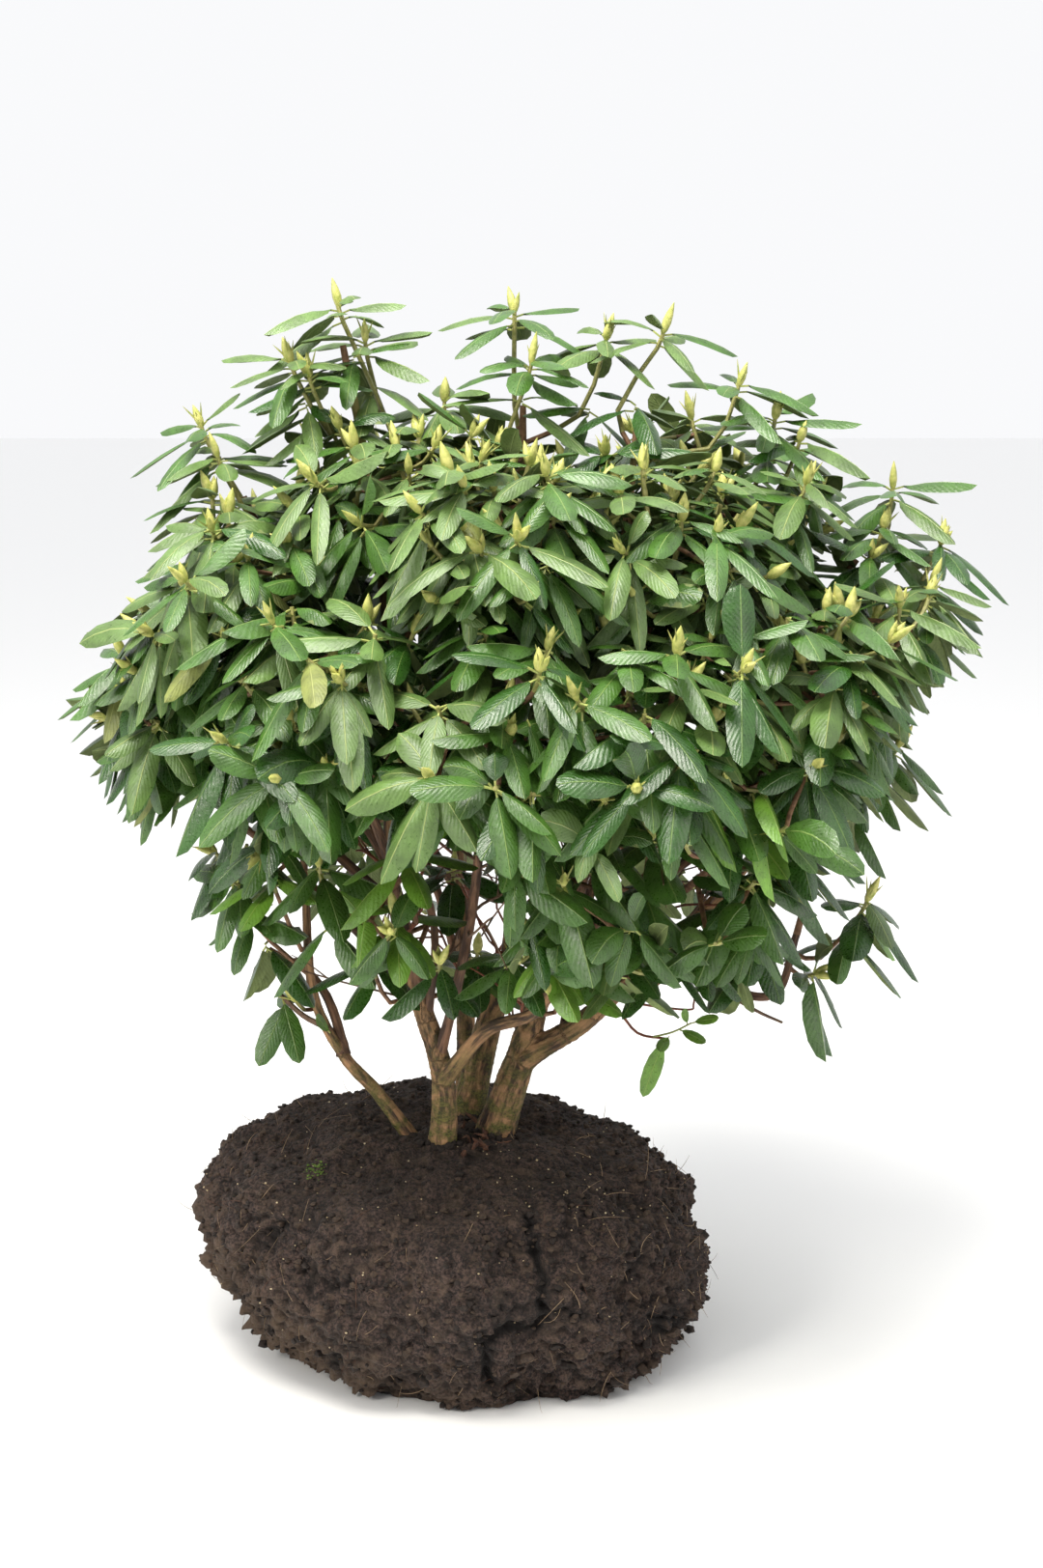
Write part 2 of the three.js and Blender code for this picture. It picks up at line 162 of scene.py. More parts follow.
# each limb's diameter at the foot, the heart of the foliage that it ends in, how far that
# foliage's shoots go, its foot in the peat or the limb that carries it with the share of that
# limb's line, and the points on its way
limbs = {
    "front_stem": (0.043, (-0.07, -0.13, 1.4), 0.215, (-0.011, -0.1, 0.325),
                   [(-0.008, -0.1, 0.47), (-0.048, -0.098, 0.62), (-0.088, -0.092, 0.85)]),
    "middle_stem": (0.052, (0.12, 0.06, 1.565), 0.2, (0.02, 0.048, 0.325),
                    [(0.062, 0.07, 0.5), (0.104, 0.082, 0.64), (0.116, 0.082, 0.95)]),
    "right_stem": (0.058, (0.31, 0, 1.552), 0.2, (0.066, -0.032, 0.325),
                   [(0.116, -0.032, 0.478), (0.15, -0.018, 0.59), (0.238, -0.01, 0.9)]),
    "left_stem": (0.025, (-0.3, -0.06, 0.84), 0.17, (-0.048, -0.062, 0.332),
                  [(-0.112, -0.062, 0.424), (-0.17, -0.058, 0.492), (-0.219, -0.04, 0.593)]),
    "back_stem": (0.036, (-0.03, 0.29, 1.32), 0.24, (0.024, 0.112, 0.325),
                  [(0.022, 0.15, 0.52), (0.01, 0.195, 0.76)]),
    "right_limb": (0.04, (0.64, 0.02, 0.95), 0.22, ("right_stem", 0.25),
                   [(0.216, -0.05, 0.545), (0.3, -0.06, 0.63), (0.425, -0.045, 0.745)]),
    "front_limb": (0.024, (0.19, -0.38, 0.89), 0.19, ("front_stem", 0.24),
                   [(0.062, -0.16, 0.566), (0.14, -0.215, 0.616), (0.18, -0.29, 0.72)]),
    "spire_bough": (0.017, (-0.165, 0, 1.648), 0.155, ("front_stem", 0.86)),
    "top_left_bough": (0.016, (-0.335, 0.03, 1.42), 0.195, ("front_stem", 0.79)),
    "high_left_bough": (0.016, (-0.34, -0.15, 1.26), 0.195, ("front_stem", 0.72)),
    "far_left_bough": (0.017, (-0.435, -0.05, 1.09), 0.2, ("front_stem", 0.66)),
    "low_left_bough": (0.017, (-0.43, 0.12, 0.9), 0.2, ("front_stem", 0.47)),
    "bottom_left_bough": (0.016, (-0.325, 0, 0.65), 0.135, ("left_stem", 0.5)),
    "top_right_bough": (0.017, (0.49, 0.1, 1.42), 0.2, ("right_stem", 0.8)),
    "high_right_bough": (0.018, (0.67, 0.06, 1.32), 0.205, ("right_stem", 0.7)),
    "far_right_bough": (0.019, (0.69, -0.13, 1.13), 0.22, ("right_stem", 0.58)),
    "low_right_bough": (0.018, (0.64, -0.06, 0.73), 0.18, ("right_limb", 0.5),
                        [(0.368, -0.064, 0.648), (0.43, -0.064, 0.61), (0.525, -0.06, 0.596)]),
    "high_front_bough": (0.016, (0.11, -0.27, 1.37), 0.21, ("middle_stem", 0.8)),
    "high_front_right_bough": (0.016, (0.34, -0.25, 1.33), 0.21, ("right_stem", 0.88)),
    "front_left_bough": (0.017, (-0.2, -0.33, 1.13), 0.215, ("front_stem", 0.5)),
    "front_middle_bough": (0.017, (0.04, -0.43, 1.115), 0.195, ("front_stem", 0.31)),
    "front_right_bough": (0.018, (0.29, -0.44, 1.11), 0.21, ("right_stem", 0.45)),
    "front_far_right_bough": (0.017, (0.52, -0.33, 1.13), 0.205, ("right_stem", 0.52)),
    "low_front_left_bough": (0.013, (-0.09, -0.27, 0.87), 0.16, ("front_stem", 0.42)),
    "low_front_right_bough": (0.015, (0.425, -0.29, 0.87), 0.2, ("right_limb", 0.3)),
    "back_left_bough": (0.017, (-0.25, 0.34, 1.12), 0.225, ("back_stem", 0.6)),
    "back_right_bough": (0.018, (0.31, 0.36, 1.24), 0.235, ("middle_stem", 0.6)),
    "low_back_left_bough": (0.016, (-0.13, 0.4, 0.83), 0.22, ("back_stem", 0.3)),
    "low_back_right_bough": (0.017, (0.34, 0.39, 0.87), 0.23, ("right_limb", 0.18)),
}
limbs = {
    name: dict(zip(("thick", "heart", "reach", "from", "via"), row), rooted=len(row[3]) == 3)
    for name, row in limbs.items()
}


# the solids' own rule of growth, and the finer twigs that it is carried on to
growth = {
    "crownCore": (0.12, 0.02, 0.93),
    "crownLift": 0.8,
    "boughTip": 0.006,
    "boughCurve": 0.4,
    "rootFlare": 0.35,
    "flareFade": 14,
    "taperBend": 0.8,
    "seedStep": 977,
    "shootSpacing": 0.042,
    "bulge": 0.3,
    "spread": 0.74,
    "unevenness": 0.24,
    "stemShare": 0.3,
    "firstFork": 0.97,
    "lastFork": 0.2,
    "twigBend": 0.55,
    "twigSag": 0.12,
    "twigSwing": 0.7,
    "shootLift": 0.5,
    "leaves": 4,
    "tries": 7,
    "shootTurn": 0.25,
    "shootShorter": 0.06,
    # by the height of a mass's heart: the share of the shoots that are alive, and the side
    # shoots round each
    "alive": {0.65: 0.7, 0.95: 0.8, 1.1: 1},
    "sideShoots": {0.7: 1, 0.9: 2, 1.1: 3, 1.6: 4},
    "leader": 0.03,  # how much further some of the shoots may grow out
    "leaderRoom": 0.04,
    "straight": 0.028,  # the last part of a shoot runs along its own axis
    "limbGap": 0.008,
    "ownSpace": 0.01,  # how far a shoot of the solids may leave its mass's space
    "innerShoots": 8,  # short shady shoots round the end of each limb
    "innerAbove": 1,
    "innerOverlap": 0.08,
    "innerFrom": (0.62, 0.97),  # of the limb's line
    "innerLength": (0.07, 0.15),
    "sideReach": (0.075, 0.13),
    "sideDrop": (0.0, 0.05),
    "sideFork": (0.3, 0.75),
    "tipSpacing": 0.05,  # no two shoots end closer together
    "overlap": 0.035,  # how far fine twigs may grow into the next mass's space
    # no leaf hangs lower than this round the stems, more before them, and at the two ends
    "lowest": {
        "middle": 0.59, "before": 0.3, "ends": 0.52, "single": 0.05, "centre": 0.13, "reach": 0.4,
    },
}


# the crown's edge, as x and z of where the sight lines meet the plane y = 0; shoots end inside it
crownEdge = {
    "corners": [
        (-0.57, 1.07), (-0.52, 1.2), (-0.45, 1.32), (-0.39, 1.38), (-0.32, 1.41), (-0.24, 1.45),
        (-0.17, 1.5), (-0.09, 1.47), (-0.03, 1.49), (0.06, 1.53), (0.15, 1.56), (0.24, 1.56),
        (0.33, 1.56), (0.42, 1.51), (0.51, 1.46), (0.58, 1.41), (0.66, 1.32), (0.76, 1.24),
        (0.81, 1.19), (0.71, 1.08), (0.66, 0.95), (0.62, 0.84), (0.6, 0.74), (0.57, 0.65),
        (0.53, 0.61), (0.4, 0.61), (0.28, 0.58), (0.15, 0.56), (0.05, 0.58), (-0.04, 0.63),
        (-0.15, 0.56), (-0.24, 0.55), (-0.3, 0.61), (-0.35, 0.72), (-0.43, 0.84), (-0.51, 0.96),
    ],
    "cell": 0.01,
    "across": (-0.9, 1.2),
    "rise": (0.2, 2),
    "shootGap": 0.035,  # the most that a shoot ends inside it
    "leafGap": 0.065,  # how far a leaf may hang over it
}

# strong shoots that stand out of the crown: where each ends, and the place that it bends at
standing = [
    ((-0.162, 0, 1.678), (-0.065, 0.02, 1.432)), ((-0.124, 0.02, 1.626), (-0.105, 0.04, 1.511)),
    ((-0.235, -0.03, 1.595), (-0.179, -0.01, 1.484)), ((-0.206, -0.04, 1.574), (-0.146, -0.02, 1.431)),
    ((-0.383, 0.03, 1.496), (-0.323, 0.05, 1.376)), ((-0.352, -0.02, 1.451), (-0.3, 0, 1.342)),
    ((-0.356, -0.06, 1.391), (-0.354, -0.04, 1.246)), ((-0.366, -0.1, 1.31), (-0.344, -0.08, 1.194)),
    ((0.107, 0.05, 1.67), (0.107, 0.07, 1.525)), ((0.133, -0.02, 1.594), (0.082, 0, 1.437)),
    ((-0.002, 0.02, 1.535), (0, 0.04, 1.422)), ((0.25, 0.04, 1.629), (0.209, 0.06, 1.51)),
    ((0.336, 0, 1.639), (0.268, 0.02, 1.519)), ((0.454, 0, 1.559), (0.411, 0.02, 1.46)),
    ((0.517, 0.05, 1.507), (0.492, 0.07, 1.404)), ((0.554, 0.03, 1.473), (0.514, 0.05, 1.376)),
    ((0.549, -0.1, 1.415), (0.507, -0.08, 1.327)), ((0.711, 0.08, 1.395), (0.699, 0.1, 1.295)),
    ((0.685, 0, 1.34), (0.635, 0.02, 1.234)), ((0.78, 0.02, 1.313), (0.723, 0.04, 1.216)),
    ((0.754, -0.05, 1.255), (0.698, -0.03, 1.154)), ((0.655, -0.12, 1.209), (0.606, -0.1, 1.115)),
    ((0.711, -0.05, 1.001), (0.61, -0.03, 0.895)), ((0.669, -0.06, 0.752), (0.6, -0.04, 0.65)),
    ((0.592, -0.06, 0.63), (0.545, -0.04, 0.64)),
]
# single ones under it, some with their own colour of leaves
underneath = [
    ((-0.056, -0.3, 0.886), (-0.04, -0.27, 0.774), 3), ((-0.07, -0.27, 0.784), (-0.049, -0.24, 0.706), 3),
    ((0.232, -0.36, 0.93), (0.216, -0.33, 0.806), 1), ((0.183, -0.34, 0.826), (0.182, -0.31, 0.727)),
    ((0.155, -0.3, 0.737), (0.147, -0.27, 0.685)), ((0.305, -0.36, 0.924), (0.286, -0.33, 0.82)),
    ((0.44, -0.2, 0.789), (0.4, -0.17, 0.7)), ((0.494, -0.15, 0.726), (0.45, -0.12, 0.67)),
    ((0.412, -0.2, 0.703), (0.363, -0.17, 0.685)), ((-0.268, -0.15, 0.813), (-0.228, -0.12, 0.686)),
    ((-0.317, -0.1, 0.75), (-0.249, -0.07, 0.655)), ((-0.247, -0.05, 0.582), (-0.218, -0.02, 0.559)),
    ((-0.014, -0.1, 0.636), (0.011, -0.07, 0.607)), ((0.046, 0, 0.65), (0.039, 0.03, 0.559)),
    ((0.268, -0.3, 0.774), (0.262, -0.27, 0.7)), ((-0.008, -0.2, 0.69), (-0.005, -0.15, 0.62), 2),
    ((-0.116, -0.14, 0.672), (-0.09, -0.12, 0.6), 2), ((0.103, -0.26, 0.715), (0.1, -0.22, 0.65), 1),
    ((0.177, -0.22, 0.665), (0.17, -0.17, 0.6), 3), ((0.01, -0.05, 0.8), (0, -0.03, 0.72), 2),
    ((0.341, -0.2, 0.7), (0.32, -0.15, 0.63), 2), ((0.264, -0.25, 0.735), (0.25, -0.2, 0.66), 1),
    ((-0.191, -0.2, 0.845), (-0.17, -0.16, 0.75), 1),
]

# see-through places under the leaves: middle as x and z, half width and half height; each
# goes straight through from front to back and drops by "slope" on the way
clearings = {
    "slope": -0.266,
    "depth": -0.05,  # where y has this value, they are at the heights given here
    "places": [
        (0.028, 0.72, 0.06, 0.1), (-0.172, 0.635, 0.035, 0.045), (0.355, 0.745, 0.04, 0.035),
        (-0.11, 0.79, 0.025, 0.03), (0.27, 0.795, 0.028, 0.03),
    ],
}


def mix(ends, share):
    return ends[0] + (ends[1] - ends[0]) * share


def uneven(chance):
    return 1 + growth["unevenness"] * (chance - 0.5)


# a number or row of numbers read off a table of heights, between its two nearest rows
def byHeight(table, height):
    heights = sorted(table)
    rows = zip(*(np.atleast_1d(table[level]) for level in heights))
    return np.array([np.interp(height, heights, row) for row in rows]).squeeze()


# the same seed always gives the same row of numbers from 0 to 1
def seededRandom(seed):
    state = seed % 2**32

    def draw():
        nonlocal state
        state = (state * 1664525 + 1013904223) % 2**32
        return state / 2**32

    return draw


def facing(heart):
    return (Vector(heart) - Vector(growth["crownCore"])).normalized()


def outwards(heart):
    return (facing(heart) + up * growth["crownLift"]).normalized()


# direction at an angle from an axis, turned round it
def directionFrom(axis, angle, turn):
    side = axis.cross(up)
    if side.length < 0.05:
        side = Vector((1, 0, 0))
    side.normalize()
    other = axis.cross(side)
    return (
        axis * math.cos(angle)
        + side * (math.sin(angle) * math.cos(turn))
        + other * (math.sin(angle) * math.sin(turn))
    )


# a point of the smooth line through a row of points
def smoothPoint(points, share):
    last = len(points) - 1
    i = min(int(share * last), last - 1)
    t = share * last - i
    b, c = points[i], points[i + 1]
    a = points[i - 1] if i > 0 else b * 2 - c
    d = points[i + 2] if i + 2 <= last else c * 2 - b
    bSlope, cSlope = (c - a) / 2, (d - b) / 2
    curved = (b - c) * 2 + bSlope + cSlope
    return curved * t**3 + ((c - b) * 3 - bSlope * 2 - cSlope) * t**2 + bSlope * t + b


def tipOf(limb):
    return Vector(limb["heart"]) - outwards(limb["heart"]) * (0.5 * limb["reach"])


def limbPoint(name, share):
    limb = limbs[name]
    tip = tipOf(limb)
    start = Vector(limb["from"]) if limb["rooted"] else limbPoint(*limb["from"])
    if "via" in limb:
        return smoothPoint([start, *map(Vector, limb["via"]), tip], share)
    bend = tip - outwards(limb["heart"]) * (growth["boughCurve"] * (tip - start).length)
    return start * (1 - share) ** 2 + bend * (2 * share * (1 - share)) + tip * share**2


def limbRadius(name, share):
    limb = limbs[name]
    foot, tip = limb["thick"] / 2, growth["boughTip"]
    flare = growth["rootFlare"] * foot if limb["rooted"] else 0
    taper = tip + (foot - tip) * (1 - share) ** growth["taperBend"]
    return taper + flare * math.exp(-share * growth["flareFade"])


# the line of each limb with its radii and the distance along it, a point every few millimetres
def limbLine(name, step):
    rough = [limbPoint(name, i / 40) for i in range(41)]
    length = sum((b - a).length for a, b in zip(rough, rough[1:]))
    count = max(8, round(length / step))
    shares = [i / count for i in range(count + 1)]
    points = [limbPoint(name, share) for share in shares]
    radii = [limbRadius(name, share) for share in shares]
    return {"points": points, "radii": radii, "length": length}


lines = {name: limbLine(name, 0.006) for name in limbs}
limbTree = kdtree.KDTree(sum(len(line["points"]) for line in lines.values()))
limbSpots = []
for name, line in lines.items():
    for i, spot in enumerate(line["points"]):
        limbTree.insert(spot, len(limbSpots))
        limbSpots.append((name, i))
limbTree.balance()


# distance from a point to the skin of the nearest limb
def limbRoom(place):
    _, index, distance = limbTree.find(place)
    name, i = limbSpots[index]
    return distance - lines[name]["radii"][i]


# ---- shared shader groups ----
def newGroup(name, inputs, outputs):
    group = bpy.data.node_groups.new(name, "ShaderNodeTree")
    for side, sockets in (("INPUT", inputs), ("OUTPUT", outputs)):
        for title, kind in sockets.items():
            group.interface.new_socket(title, in_out=side, socket_type="NodeSocket" + kind)
    return group, group.nodes.new("NodeGroupInput").outputs, group.nodes.new("NodeGroupOutput")


# two colours mixed by a soft-edged noise
def makeMottle():
    inputs = {"Place": "Vector", "Scale": "Float", "Low": "Float", "High": "Float"}
    inputs |= {"First": "Color", "Second": "Color"}
    group, given, end = newGroup("mottle", inputs, {"Colour": "Color", "Mask": "Float"})
    cloud = {"Vector": given["Place"], "Scale": given["Scale"], "Detail": 4, "Roughness": 0.6}
    cloud = addNode(group, "TexNoise", cloud).outputs["Fac"]
    mask = ramp(group, cloud, given["Low"], given["High"])
    setInputs(end, {"Colour": blend(group, mask, given["First"], given["Second"]), "Mask": mask})
    return group


# height of a rough skin: soft swells with fine grain on them
def makeGrain():
    inputs = {"Place": "Vector", "Swell": "Float", "Grain": "Float"}
    group, given, end = newGroup("grain", inputs, {"Height": "Float"})
    heights = []
    for name, detail, roughness in (("Grain", 5, 0.7), ("Swell", 3, 0.5)):
        cloud = {"Vector": given["Place"], "Scale": given[name], "Detail": detail}
        cloud = addNode(group, "TexNoise", cloud | {"Roughness": roughness})
        heights.append(cloud.outputs["Fac"])
    setInputs(end, {"Height": maths(group, "MULTIPLY_ADD", heights[0], 0.5, heights[1])})
    return group


# pale rib down the middle of a leaf and slanting side veins, from the leaf's own uv
def makeVeins():
    group, given, end = newGroup("veins", {"Place": "Vector"}, {"Rib": "Float", "Height": "Float"})
    parts = addNode(group, "SeparateXYZ", {0: given["Place"]}).outputs
    side = maths(group, "ABSOLUTE", maths(group, "SUBTRACT", parts["X"], 0.5))
    rib = ramp(group, side, 0.034, 0.01)
    slant = maths(group, "MULTIPLY_ADD", side, -0.55, parts["Y"])
    wave = maths(group, "SINE", maths(group, "MULTIPLY", slant, 78))
    height = maths(group, "SUBTRACT", maths(group, "MULTIPLY", wave, 0.12), rib)
    setInputs(end, {"Rib": rib, "Height": height})
    return group


mottle, grain, veins = makeMottle(), makeGrain(), makeVeins()


def placeGroup(tree, group, place, **values):
    return addNode(tree, "Group", {"Place": place} | values, node_tree=group).outputs


def mottled(tree, place, scale, low, high, first=(0, 0, 0), second=(1, 1, 1)):
    values = {"Scale": scale, "Low": low, "High": high, "First": first, "Second": second}
    return placeGroup(tree, mottle, place, **values)


def addBump(tree, shader, height, strength, distance):
    bump = addNode(tree, "Bump", {"Strength": strength, "Distance": distance, "Height": height})
    setInputs(shader, {"Normal": bump.outputs["Normal"]})


# ---- bark ----
bark = {
    "voxel": 0.0027,
    "smoothing": 7,
    "collar": 0.55,  # of a limb's radius, that it widens by where it leaves another
    "collarFade": 0.022,
    "swell": 0.0013,
    "flake": 0.0034,
    "fullRelief": 0.018,  # thinner limbs have less of it
    "seam": 0.37,  # the pattern's shift from limb to limb
    # dark and pale tones
    "old": ((0.043, 0.024, 0.015), (0.36, 0.2, 0.095)),
    "young": ((0.06, 0.033, 0.022), (0.23, 0.12, 0.07)),
    "moss": ((0.028, 0.032, 0.009), (0.15, 0.14, 0.03)),
    "fresh": (0.23, 0.2, 0.065),
    # heights under which wood is mossy and over which it is fresh
    "oldHeights": (0.62, 1.3),
    "youngHeights": (0.5, 1.15),
}


def barkMaterial(name, colours, heights):
    material, tree, shader = newMaterial(name)
    way = addNode(tree, "Attribute", attribute_name="barkWay").outputs["Vector"]
    strip = addNode(tree, "Mapping", {"Vector": way, "Scale": (1, 1, 0.13)}).outputs["Vector"]
    wood = mottled(tree, strip, 105, 0.41, 0.59, *colours)
    patches = mottled(tree, way, 36, 0.4, 0.58)
    moss = mottled(tree, way, 230, 0.36, 0.64, *bark["moss"])
    place = addNode(tree, "TexCoord").outputs["Object"]
    height = addNode(tree, "SeparateXYZ", {0: place}).outputs["Z"]
    low = ramp(tree, height, heights[0], heights[0] - 0.24)
    green = maths(tree, "MULTIPLY", low, patches["Mask"])
    mossy = blend(tree, green, wood["Colour"], moss["Colour"])
    high = ramp(tree, height, heights[1], heights[1] + 0.25)
    setInputs(shader, {"Base Color": blend(tree, high, mossy, bark["fresh"]), "Roughness": 0.82})
    rough = placeGroup(tree, grain, strip, Swell=130, Grain=420)
    addBump(tree, shader, rough["Height"], 0.9, 0.0035)
    return material


oldBark = barkMaterial("oldBark", bark["old"], bark["oldHeights"])
youngBark = barkMaterial("youngBark", bark["young"], bark["youngHeights"])


def selectOnly(*pieces):
    bpy.ops.object.select_all(action="DESELECT")
    for piece in pieces:
        piece.select_set(True)
    bpy.context.view_layer.objects.active = pieces[0]


# a limb as a round curve with its own taper, turned to a mesh
def limbMesh(name, sides):
    line = lines[name]
    curve = bpy.data.curves.new(name, "CURVE")
    curve.dimensions = "3D"
    curve.bevel_depth = 1
    curve.bevel_resolution = (sides - 4) // 2
    curve.use_fill_caps = True
    spline = curve.splines.new("POLY")
    spline.points.add(len(line["points"]) - 1)
    gap = line["length"] / (len(line["points"]) - 1)
    for i, (spot, radius) in enumerate(zip(line["points"], line["radii"])):
        collar = 0 if limbs[name]["rooted"] else math.exp(-i * gap / bark["collarFade"])
        spline.points[i].co = (*spot, 1)
        spline.points[i].radius = radius * (1 + bark["collar"] * collar)
    made = bpy.data.objects.new(name + "Wood", curve)
    bpy.context.collection.objects.link(made)
    selectOnly(made)
    bpy.ops.object.convert(target="MESH")
    return bpy.context.object


def joinPieces(pieces, name):
    selectOnly(*pieces)
    bpy.ops.object.join()
    bpy.context.object.name = name
    return bpy.context.object


def smoothShade(piece, degrees):
    selectOnly(piece)
    bpy.ops.object.shade_smooth_by_angle(angle=math.radians(degrees))


def applyModifier(piece, kind, **settings):
    bpy.context.view_layer.objects.active = piece
    modifier = piece.modifiers.new(kind.lower(), kind)
    for name, value in settings.items():
        setattr(modifier, name, value)
    bpy.ops.object.modifier_apply(modifier=modifier.name)


def readPoints(mesh, key):
    values = np.empty(len(mesh.vertices) * 3, np.float32)
    mesh.vertices.foreach_get(key, values)
    return values.reshape(-1, 3).astype(float)


def writePlaces(mesh, places):
    mesh.vertices.foreach_set("co", places.astype(np.float32).ravel())
    mesh.update()


def squareTo(forward, way):
    return (way - forward * way.dot(forward)).normalized()


# frames that turn as little as they can along a limb
def framesAlong(points):
    frames = []
    across = Vector((1, 0, 0))
    for i in range(len(points)):
        forward = (points[min(i + 1, len(points) - 1)] - points[max(i - 1, 0)]).normalized()
        across = squareTo(forward, across)
        frames.append((forward, across, forward.cross(across)))
    return frames


# pushes the skin in and out in strips along each limb, and keeps the unrolled place for the shader
def raiseBark(piece):
    frames = {name: framesAlong(line["points"]) for name, line in lines.items()}
    shift = {name: bark["seam"] * i for i, name in enumerate(lines)}
    places, normals = readPoints(piece.data, "co"), readPoints(piece.data, "normal")
    ways = np.zeros((len(places), 3), np.float32)
    for k, place in enumerate(places):
        spot = Vector(place)
        _, index, _ = limbTree.find(spot)
        name, i = limbSpots[index]
        line = lines[name]
        forward, across, other = frames[name][i]
        offset = spot - line["points"][i]
        along = i * line["length"] / (len(line["points"]) - 1) + offset.dot(forward)
        way = Vector((offset.dot(across), offset.dot(other), along + shift[name]))
        ways[k] = way
        thick = min(1, line["radii"][i] / bark["fullRelief"])
        swell = noise.noise((way.x * 45, way.y * 45, way.z * 13))
        flake = 1 - abs(noise.noise((way.x * 170, way.y * 170, way.z * 21)))
        crack = noise.noise((way.x * 60, way.y * 60, way.z * 150))
        push = bark["swell"] * swell + bark["flake"] * (flake - 0.75 + 0.25 * crack)
        places[k] += normals[k] * (push * thick)
    writePlaces(piece.data, places)
    layer = piece.data.attributes.new("barkWay", "FLOAT_VECTOR", "POINT")
    layer.data.foreach_set("vector", ways.ravel())


def dressWood(wood, material, names):
    raiseBark(wood)
    wood.data.materials.clear()
    wood.data.materials.append(material)
    smoothShade(wood, 60)
    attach(wood, "root")
    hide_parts(*names)
    print(wood.name + ":", len(wood.data.polygons), "faces")


boughNames = [name for name in limbs if name.endswith("_bough")]
stemNames = [name for name in limbs if name not in boughNames]
stems = joinPieces([limbMesh(name, 24) for name in stemNames], "stems")
applyModifier(stems, "REMESH", mode="VOXEL", voxel_size=bark["voxel"])
applyModifier(stems, "SMOOTH", factor=0.5, iterations=bark["smoothing"])
dressWood(stems, oldBark, stemNames)
boughs = joinPieces([limbMesh(name, 14) for name in boughNames], "boughs")
dressWood(boughs, youngBark, boughNames)


# ---- many small things, poured together as arrays ----
def newHeap():
    return {"corners": [], "loops": [], "sizes": [], "slots": [], "uvs": [], "count": 0}


# faceSets holds (rows of corner numbers, material slot or slots) for faces of one size
def pour(heap, corners, faceSets, uvs=None):
    for faces, slots in faceSets:
        faces = np.asarray(faces)
        heap["loops"].append((faces + heap["count"]).ravel())
        heap["sizes"].append(np.full(len(faces), faces.shape[1]))
        heap["slots"].append(np.broadcast_to(slots, len(faces)))
    heap["corners"].append(np.asarray(corners, np.float32))
    heap["uvs"].append(np.zeros((len(corners), 2)) if uvs is None else np.asarray(uvs))
    heap["count"] += len(corners)


def pieceFrom(heap, name, materials, degrees):
    corners = np.concatenate(heap["corners"])
    loops = np.concatenate(heap["loops"]).astype(np.int32)
    sizes = np.concatenate(heap["sizes"]).astype(np.int32)
    mesh = bpy.data.meshes.new(name)
    mesh.vertices.add(len(corners))
    mesh.vertices.foreach_set("co", corners.ravel())
    mesh.loops.add(len(loops))
    mesh.loops.foreach_set("vertex_index", loops)
    mesh.polygons.add(len(sizes))
    mesh.polygons.foreach_set("loop_start", np.cumsum(sizes) - sizes)
    mesh.polygons.foreach_set("material_index", np.concatenate(heap["slots"]).astype(np.int32))
    layer = mesh.uv_layers.new(name="ownUv")
    layer.data.foreach_set("uv", np.concatenate(heap["uvs"])[loops].astype(np.float32).ravel())
    mesh.update(calc_edges=True)
    for material in materials:
        mesh.materials.append(material)
    piece = bpy.data.objects.new(name, mesh)
    bpy.context.collection.objects.link(piece)
    smoothShade(piece, degrees)
    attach(piece, "root")
    print(name + ":", int((sizes - 2).sum()), "triangles")
    return piece


# a closed round tube through a row of points, with a slot for each stretch
def pourTube(heap, points, radii, sides, slots):
    points = [Vector(spot) for spot in points]
    turns = np.arange(sides) * 2 * np.pi / sides
    rings = []
    for spot, radius, (_, across, other) in zip(points, radii, framesAlong(points)):
        ring = np.outer(np.cos(turns), across) + np.outer(np.sin(turns), other)
        rings.append(np.array(spot) + radius * ring)
    last = len(points) - 1
    j = np.arange(sides)
    following = (j + 1) % sides
    quad = np.stack([j, following, following + sides, j + sides], 1)
    quads = [quad + i * sides for i in range(last)]
    caps = np.stack([j[::-1], j + last * sides])
    sets = [(np.concatenate(quads), np.repeat(slots, sides)), (caps, [slots[0], slots[-1]])]
    pour(heap, np.concatenate(rings), sets)


# ---- shoots, carried on from each limb's end by the solids' own rule ----
hearts = {name: Vector(limb["heart"]) for name, limb in limbs.items()}
massNames = {name: name.removesuffix("_bough") + "_foliage" for name in limbs}
reachLow = Vector(solidBounds[0]) - Vector((0.012, 0.012, 0))
reachHigh = Vector(solidBounds[1]) + Vector((0.012, 0.012, 0.008))


# whether a point is nearer to its own mass's heart than to any other, give or take
def inSpace(name, spot, slack):
    own = hearts[name]
    toOwn = (spot - own).length_squared
    for other, heart in hearts.items():
        if other != name:
            apart = (heart - own).length
            if ((spot - heart).length_squared - toOwn) / (2 * apart) < -slack:
                return False
    return True


def inReach(spot):
    return all(low <= value <= high for low, value, high in zip(reachLow, spot, reachHigh))


def inClearing(spot):
    level = spot.z - clearings["slope"] * (spot.y - clearings["depth"])
    return any(
        ((spot.x - x) / wide) ** 2 + ((level - z) / high) ** 2 < 1
        for x, z, wide, high in clearings["places"]
    )


def tooLow(spot, slack=0):
    lowest = growth["lowest"]
    if abs(spot.x - lowest["centre"]) > lowest["reach"]:
        return spot.z < lowest["ends"] - slack
    return spot.z < lowest["middle"] - lowest["before"] * min(0, spot.y) - slack


